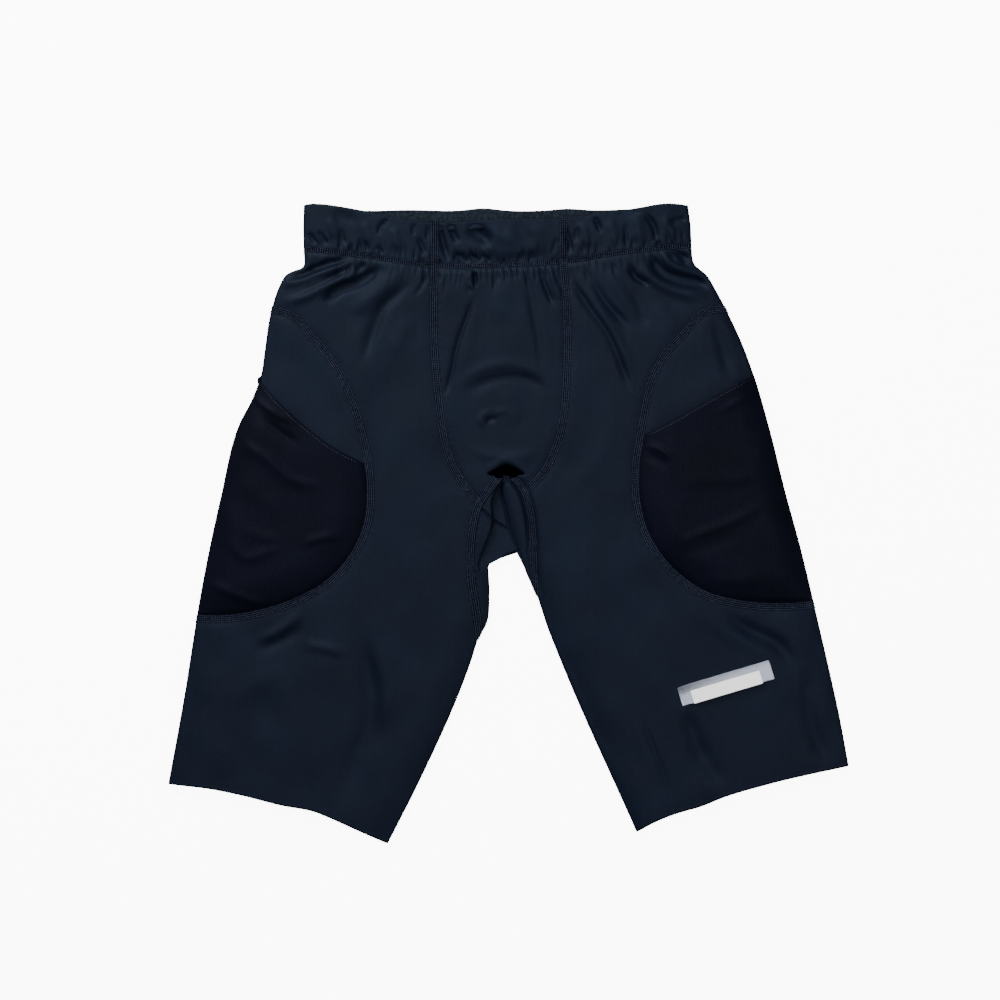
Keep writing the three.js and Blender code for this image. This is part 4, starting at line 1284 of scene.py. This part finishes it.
@dataclass
class Seam:
    """A sewn seam: a low overlap of cloth with rows of thread over it.

    Attributes:
        name: the object's name.
        node: the CAD node that it stands for.
        lines: the middle of each of its stretches on the flat pattern.
        place: what puts flat points in space.
        kind: the kind of stitching.
        lift: how far the thread stands off the cloth.
        slot: a material slot's name; not used.
    """

    name: str
    node: str
    lines: list[Points]
    place: Placement
    kind: Stitch
    lift: float = 0.35
    slot: str = "seam_thread"

    @staticmethod
    @lru_cache(maxsize=1)
    def template() -> tuple[Points, Points]:
        """Models one thread loop and gives its points and triangles.

        Returns:
            The loop's points, one unit long, and its triangles.
        """
        bpy.ops.object.select_all(action="DESELECT")
        bpy.ops.mesh.primitive_uv_sphere_add(segments=6, ring_count=4, radius=0.5, location=(0, 0, 0))
        loop = bpy.context.object
        bpy.ops.object.mode_set(mode="EDIT")
        bpy.ops.mesh.select_all(action="SELECT")
        bpy.ops.transform.resize(value=(1.0, 0.72, 0.8))
        bpy.ops.mesh.quads_convert_to_tris()
        bpy.ops.object.mode_set(mode="OBJECT")
        points = np.array([tuple(v.co) for v in loop.data.vertices])
        tris = np.array([tuple(f.vertices) for f in loop.data.polygons])
        bpy.data.objects.remove(loop)
        return points, tris

    def frame_at(self, flat: Points, along: Points, across: Points) -> tuple[Points, Points, Points, Points]:
        """The place in space and the three directions at flat points."""
        here = self.place(flat)
        reach = 0.7
        a = self.place(flat + reach * along) - self.place(flat - reach * along)
        b = self.place(flat + reach * across) - self.place(flat - reach * across)
        a /= np.linalg.norm(a, axis=1, keepdims=True)
        n = np.cross(a, b)
        n /= np.linalg.norm(n, axis=1, keepdims=True)
        return here, a, np.cross(n, a), n

    def ribbon(self, line: Points, width: float) -> tuple[Points, Points]:
        """The low overlap of cloth under the thread.

        Args:
            line: the seam's middle.
            width: the overlap's width.

        Returns:
            Its points and its faces.
        """
        length = arc_lengths(line)[-1]
        middle, left, along = rail(line, np.linspace(0, length, int(length / 1.5) + 1))
        half = [(0, 0.1), (width / 4, 0.14), (width / 2, 0.1), (width / 2 + 0.3, -0.35)]
        rows = []
        for off, rise in [(-off, rise) for off, rise in half[:0:-1]] + half:
            here, _, _, n = self.frame_at(middle + off * left, along, left)
            rows.append(here + n * rise)
        grid = np.stack(rows, axis=1)
        m, k = grid.shape[:2]
        corner = (np.arange(m - 1)[:, None] * k + np.arange(k - 1)).reshape(-1, 1)
        return grid.reshape(-1, 3), corner + np.array([0, k, k + 1, 1])

    def row(self, line: Points, off: float, rng: np.random.Generator) -> tuple[Points, Points]:
        """One row of loops along the seam, each a little slanted.

        Args:
            line: the seam's middle.
            off: how far the row lies to the left of it.
            rng: what the slants and sizes are drawn from.

        Returns:
            The loops' points and their triangles.
        """
        loop, tris = Seam.template()
        sizes = self.kind.value
        length = arc_lengths(line)[-1]
        count = int(length / sizes.pitch)
        middle, left, along = rail(line, (np.arange(count) + 0.5) * length / count)
        here, a, b, n = self.frame_at(middle + off * left, along, left)
        slant = 0.2 + rng.normal(0, 0.08, count)
        wide = b * np.cos(slant)[:, None] + a * np.sin(slant)[:, None]
        long = np.cross(n, wide)
        scale = 1 + rng.normal(0, 0.08, count)
        x, y, z = (loop[None, :, k:k + 1] * sizes.loop[k] for k in range(3))
        body = (x * wide[:, None] + y * long[:, None] + z * n[:, None]) * scale[:, None, None]
        cloud = body + (here + n * (self.lift + 0.05))[:, None]
        first = np.arange(count)[:, None, None] * len(loop)
        return cloud.reshape(-1, 3), (tris + first).reshape(-1, 3)

    def build(self) -> bpy.types.Object:
        """Makes the seam's overlap and every stitch on it as one object."""
        sizes = self.kind.value
        points, faces, finish = [], [], []

        def add(part: tuple[Points, Points], slot: int) -> None:
            """Joins a part's points and faces to the seam, with its material's place in the list."""
            base = sum(map(len, points))
            points.append(part[0])
            faces.extend((part[1] + base).tolist())
            finish.extend([slot] * len(part[1]))

        for line in self.lines:
            if sizes.ribbon:
                add(self.ribbon(line, sizes.ribbon), 0)
            rng = np.random.default_rng(len(self.name))
            for off in sizes.columns:
                add(self.row(line, off, rng), 1)
        piece = mesh_object(self.name, np.vstack(points), faces)
        # The third material is painted shade: seam faces that sink under the arch are painted near-black.
        for cloth in (SEAM_CLOTH, THREAD, NAVY_PAINTED_SHADE):
            piece.data.materials.append(cloth.material())
        centres = np.array([tuple(face.center) for face in piece.data.polygons])[:, :2] / MM
        piece.data.polygons.foreach_set("material_index", np.where(tuck(centres) > 0.1, 2, finish))
        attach(piece, SHORTS)
        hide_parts(self.node)
        LOG.info("%s: %d faces", self.name, len(faces))
        return piece


@dataclass
class Stitching:
    """All the seams."""

    def build(self) -> None:
        """Builds each seam of the front and the back layer."""
        def on_front(flat: Points) -> Points:
            """Places points on the front layer, round all four sides."""
            keys = ("outer_right", "outer_left", "inner_right", "inner_left")
            return SURFACE.turned(flat, SURFACE.height(flat), keys)

        def in_hollow(flat: Points) -> Points:
            """Places points on the front layer, sunk under the arch."""
            place = on_front(flat)
            place[:, 2] -= 7.0 * tuck(flat)
            return place

        def on_back(flat: Points) -> Points:
            """Places points on the back layer."""
            return np.column_stack([flat, np.full(len(flat), 0.5)])

        bands = {Side.RIGHT: BAND_SEAM_RIGHT, Side.LEFT: BAND_SEAM_LEFT}
        for side, half in HALVES.items():
            word = side.value
            Seam(f"front_flatlock_{word}", f"front_seam_{word}", [half.front_seam, bands[side]], on_front,
                 Stitch.FLATLOCK).build()
            Seam(f"hip_flatlock_{word}", f"hip_seam_front_{word}", [extended(half.hip_seam, 5, 5)], on_front,
                 Stitch.FLATLOCK).build()
            Seam(f"inseam_flatlock_{word}", f"inseam_{word}", [half.inseam[:-1]], in_hollow,
                 Stitch.FLATLOCK).build()
            Seam(f"hip_back_stitch_{word}", f"hip_seam_back_{word}", [half.hip_seam[4:-4]], on_back,
                 Stitch.COVERSTITCH).build()
            pocket = Pocket(half)
            inset = extended(moved(half.mouth, -half.inward * 2.6), 0, -4)[3:-5]
            Seam(f"mouth_topstitch_{word}", f"pocket_mouth_binding_{word}", [inset], pocket.place,
                 Stitch.TOPSTITCH, slot="pocket_mesh").build()
        Seam("waist_coverstitch_front", "waistband_coverstitch_front", [moved(WAIST_SEAM[1:-1], 1.0)],
             on_front, Stitch.COVERSTITCH).build()
        Seam("waist_coverstitch_back", "waistband_coverstitch_back", [WAIST_SEAM[4:-4]], on_back,
             Stitch.COVERSTITCH).build()
        Seam("centre_back_stitch", "center_back_seam", [CENTRE_BACK], on_back, Stitch.COVERSTITCH).build()


# ---- label ------------------------------------------------------------------------------------------

@dataclass
class Label:
    """A strip of clear film with a plain white tab under it, on the wearer's left leg."""

    centre: tuple[float, float] = (173.0, -127.0)
    turn: float = 16.7
    film: tuple[float, float] = (76.0, 15.2)
    tab: tuple[float, float] = (57.0, 10.6)

    def plate(self, name: str, node: str, size: tuple[float, float], shift: tuple[float, float], lift: float,
              thick: float, curl: float, finish: Plain, slot: str) -> bpy.types.Object:
        """Makes one thin plate that lies on the leg.

        Args:
            name: the object's name.
            node: the CAD node that it stands for.
            size: its length and width.
            shift: how far it lies from the label's middle, along its own axes.
            lift: how far its underside stands off the cloth.
            thick: its thickness.
            curl: how strongly its upper edge bends down.
            finish: its material.
            slot: a material slot's name; not used.

        Returns:
            The plate.
        """
        bpy.ops.object.select_all(action="DESELECT")
        bpy.ops.mesh.primitive_grid_add(x_subdivisions=24, y_subdivisions=8, size=1, location=(0, 0, 0))
        plate = bpy.context.object
        plate.name = name
        bpy.ops.object.mode_set(mode="EDIT")
        bpy.ops.mesh.select_all(action="SELECT")
        bpy.ops.transform.resize(value=(size[0] * MM, size[1] * MM, 1))
        bpy.ops.mesh.extrude_region_move(TRANSFORM_OT_translate={"value": (0, 0, thick * MM)})
        bpy.ops.mesh.select_all(action="SELECT")
        bpy.ops.mesh.normals_make_consistent(inside=False)
        bpy.ops.object.mode_set(mode="OBJECT")
        angle = math.radians(self.turn)
        c, s = math.cos(angle), math.sin(angle)
        spots = np.array([(x, y, 1) for x in np.linspace(-36, 36, 9) for y in (-6, 0, 6)])
        heights = SURFACE.height(spots[:, :2] @ np.array([[c, s], [-s, c]]) + np.array(self.centre))
        plane = np.linalg.lstsq(spots, heights, rcond=None)[0]
        rest = float(np.max(heights - spots @ plane))
        for v in plate.data.vertices:
            x, y = v.co.x / MM + shift[0], v.co.y / MM + shift[1]
            past = max(y + 1 - 3.25 * x / 38, 0)
            bend = curl * (past - 1.5 * (1 - math.exp(-past / 1.5)))
            z = plane[0] * x + plane[1] * y + plane[2] + rest + lift - bend + v.co.z / MM
            v.co = Vector((self.centre[0] + c * x - s * y, self.centre[1] + s * x + c * y, z)) * MM
        bpy.ops.object.select_all(action="DESELECT")
        plate.data.materials.append(finish.material())
        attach(plate, SHORTS)
        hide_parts(node)
        LOG.info("%s placed", name)
        return plate

    def build(self) -> None:
        """Builds the film and the tab."""
        self.plate("film_strip", "label_film", self.film, (0, 0), 2.4, 0.2, 0.3, CLEAR_FILM, "clear_film")
        self.plate("tab_plain", "label_tab", self.tab, (-0.2, -3.2), 2.65, 0.3, 0.0, WHITE_TAB, "white_tab")


# ---- studio -----------------------------------------------------------------------------------------

@dataclass
class Studio:
    """The floor, the lights and the camera above."""

    centre: tuple[float, float] = (-6.8, 18.8)
    field: float = 800.0
    lens: float = 85.0

    def light(self, name: str, place: tuple[float, float, float], size: float, power: float) -> None:
        """Adds a square soft light that faces the middle of the shorts."""
        lamp = bpy.data.lights.new(name, "AREA")
        lamp.size = size
        lamp.energy = power
        holder = bpy.data.objects.new(name, lamp)
        holder.location = place
        holder.rotation_euler = (Vector((0, 0, 0)) - Vector(place)).to_track_quat("-Z", "Y").to_euler()
        bpy.context.scene.collection.objects.link(holder)

    def build(self) -> None:
        """Builds the floor, lights, world and camera."""
        bpy.ops.object.select_all(action="DESELECT")
        bpy.ops.mesh.primitive_plane_add(size=8, location=(0, 0, -0.0004))
        floor = bpy.context.object
        floor.name = "pale_floor"
        material = bpy.data.materials.new("pale_floor_paint")
        material.use_nodes = True
        shader = material.node_tree.nodes["Principled BSDF"]
        shader.inputs["Base Color"].default_value = (0.95, 0.95, 0.95, 1)
        shader.inputs["Roughness"].default_value = 0.9
        shader.inputs["Emission Color"].default_value = (1, 1, 1, 1)
        shader.inputs["Emission Strength"].default_value = 9.0
        floor.data.materials.append(material)
        floor.visible_glossy = False
        floor.visible_diffuse = False
        self.light("key_light", (-0.9, 1.5, 1.25), 0.9, 75)
        self.light("top_light", (0.1, 0.2, 2.6), 1.6, 42)
        self.light("fill_light", (1.6, -0.9, 1.5), 1.6, 14)
        world = bpy.data.worlds.new("pale_room")
        world.use_nodes = True
        world.node_tree.nodes["Background"].inputs["Color"].default_value = (1, 1, 1, 1)
        world.node_tree.nodes["Background"].inputs["Strength"].default_value = 0.32
        bpy.context.scene.world = world
        camera = bpy.data.cameras.new("camera_above")
        camera.lens = self.lens
        camera.sensor_width = 36
        holder = bpy.data.objects.new("camera_above", camera)
        holder.location = (self.centre[0] * MM, self.centre[1] * MM, 0.004 + self.field * MM * self.lens / 36)
        bpy.context.scene.collection.objects.link(holder)
        bpy.context.scene.camera = holder


def main() -> None:
    """Builds the shorts and the studio."""
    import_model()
    Legs().build()
    Waistband().build()
    for half in HALVES.values():
        Pocket(half).build()
    Stitching().build()
    Label().build()
    Studio().build()


if __name__ == "__main__":
    main()
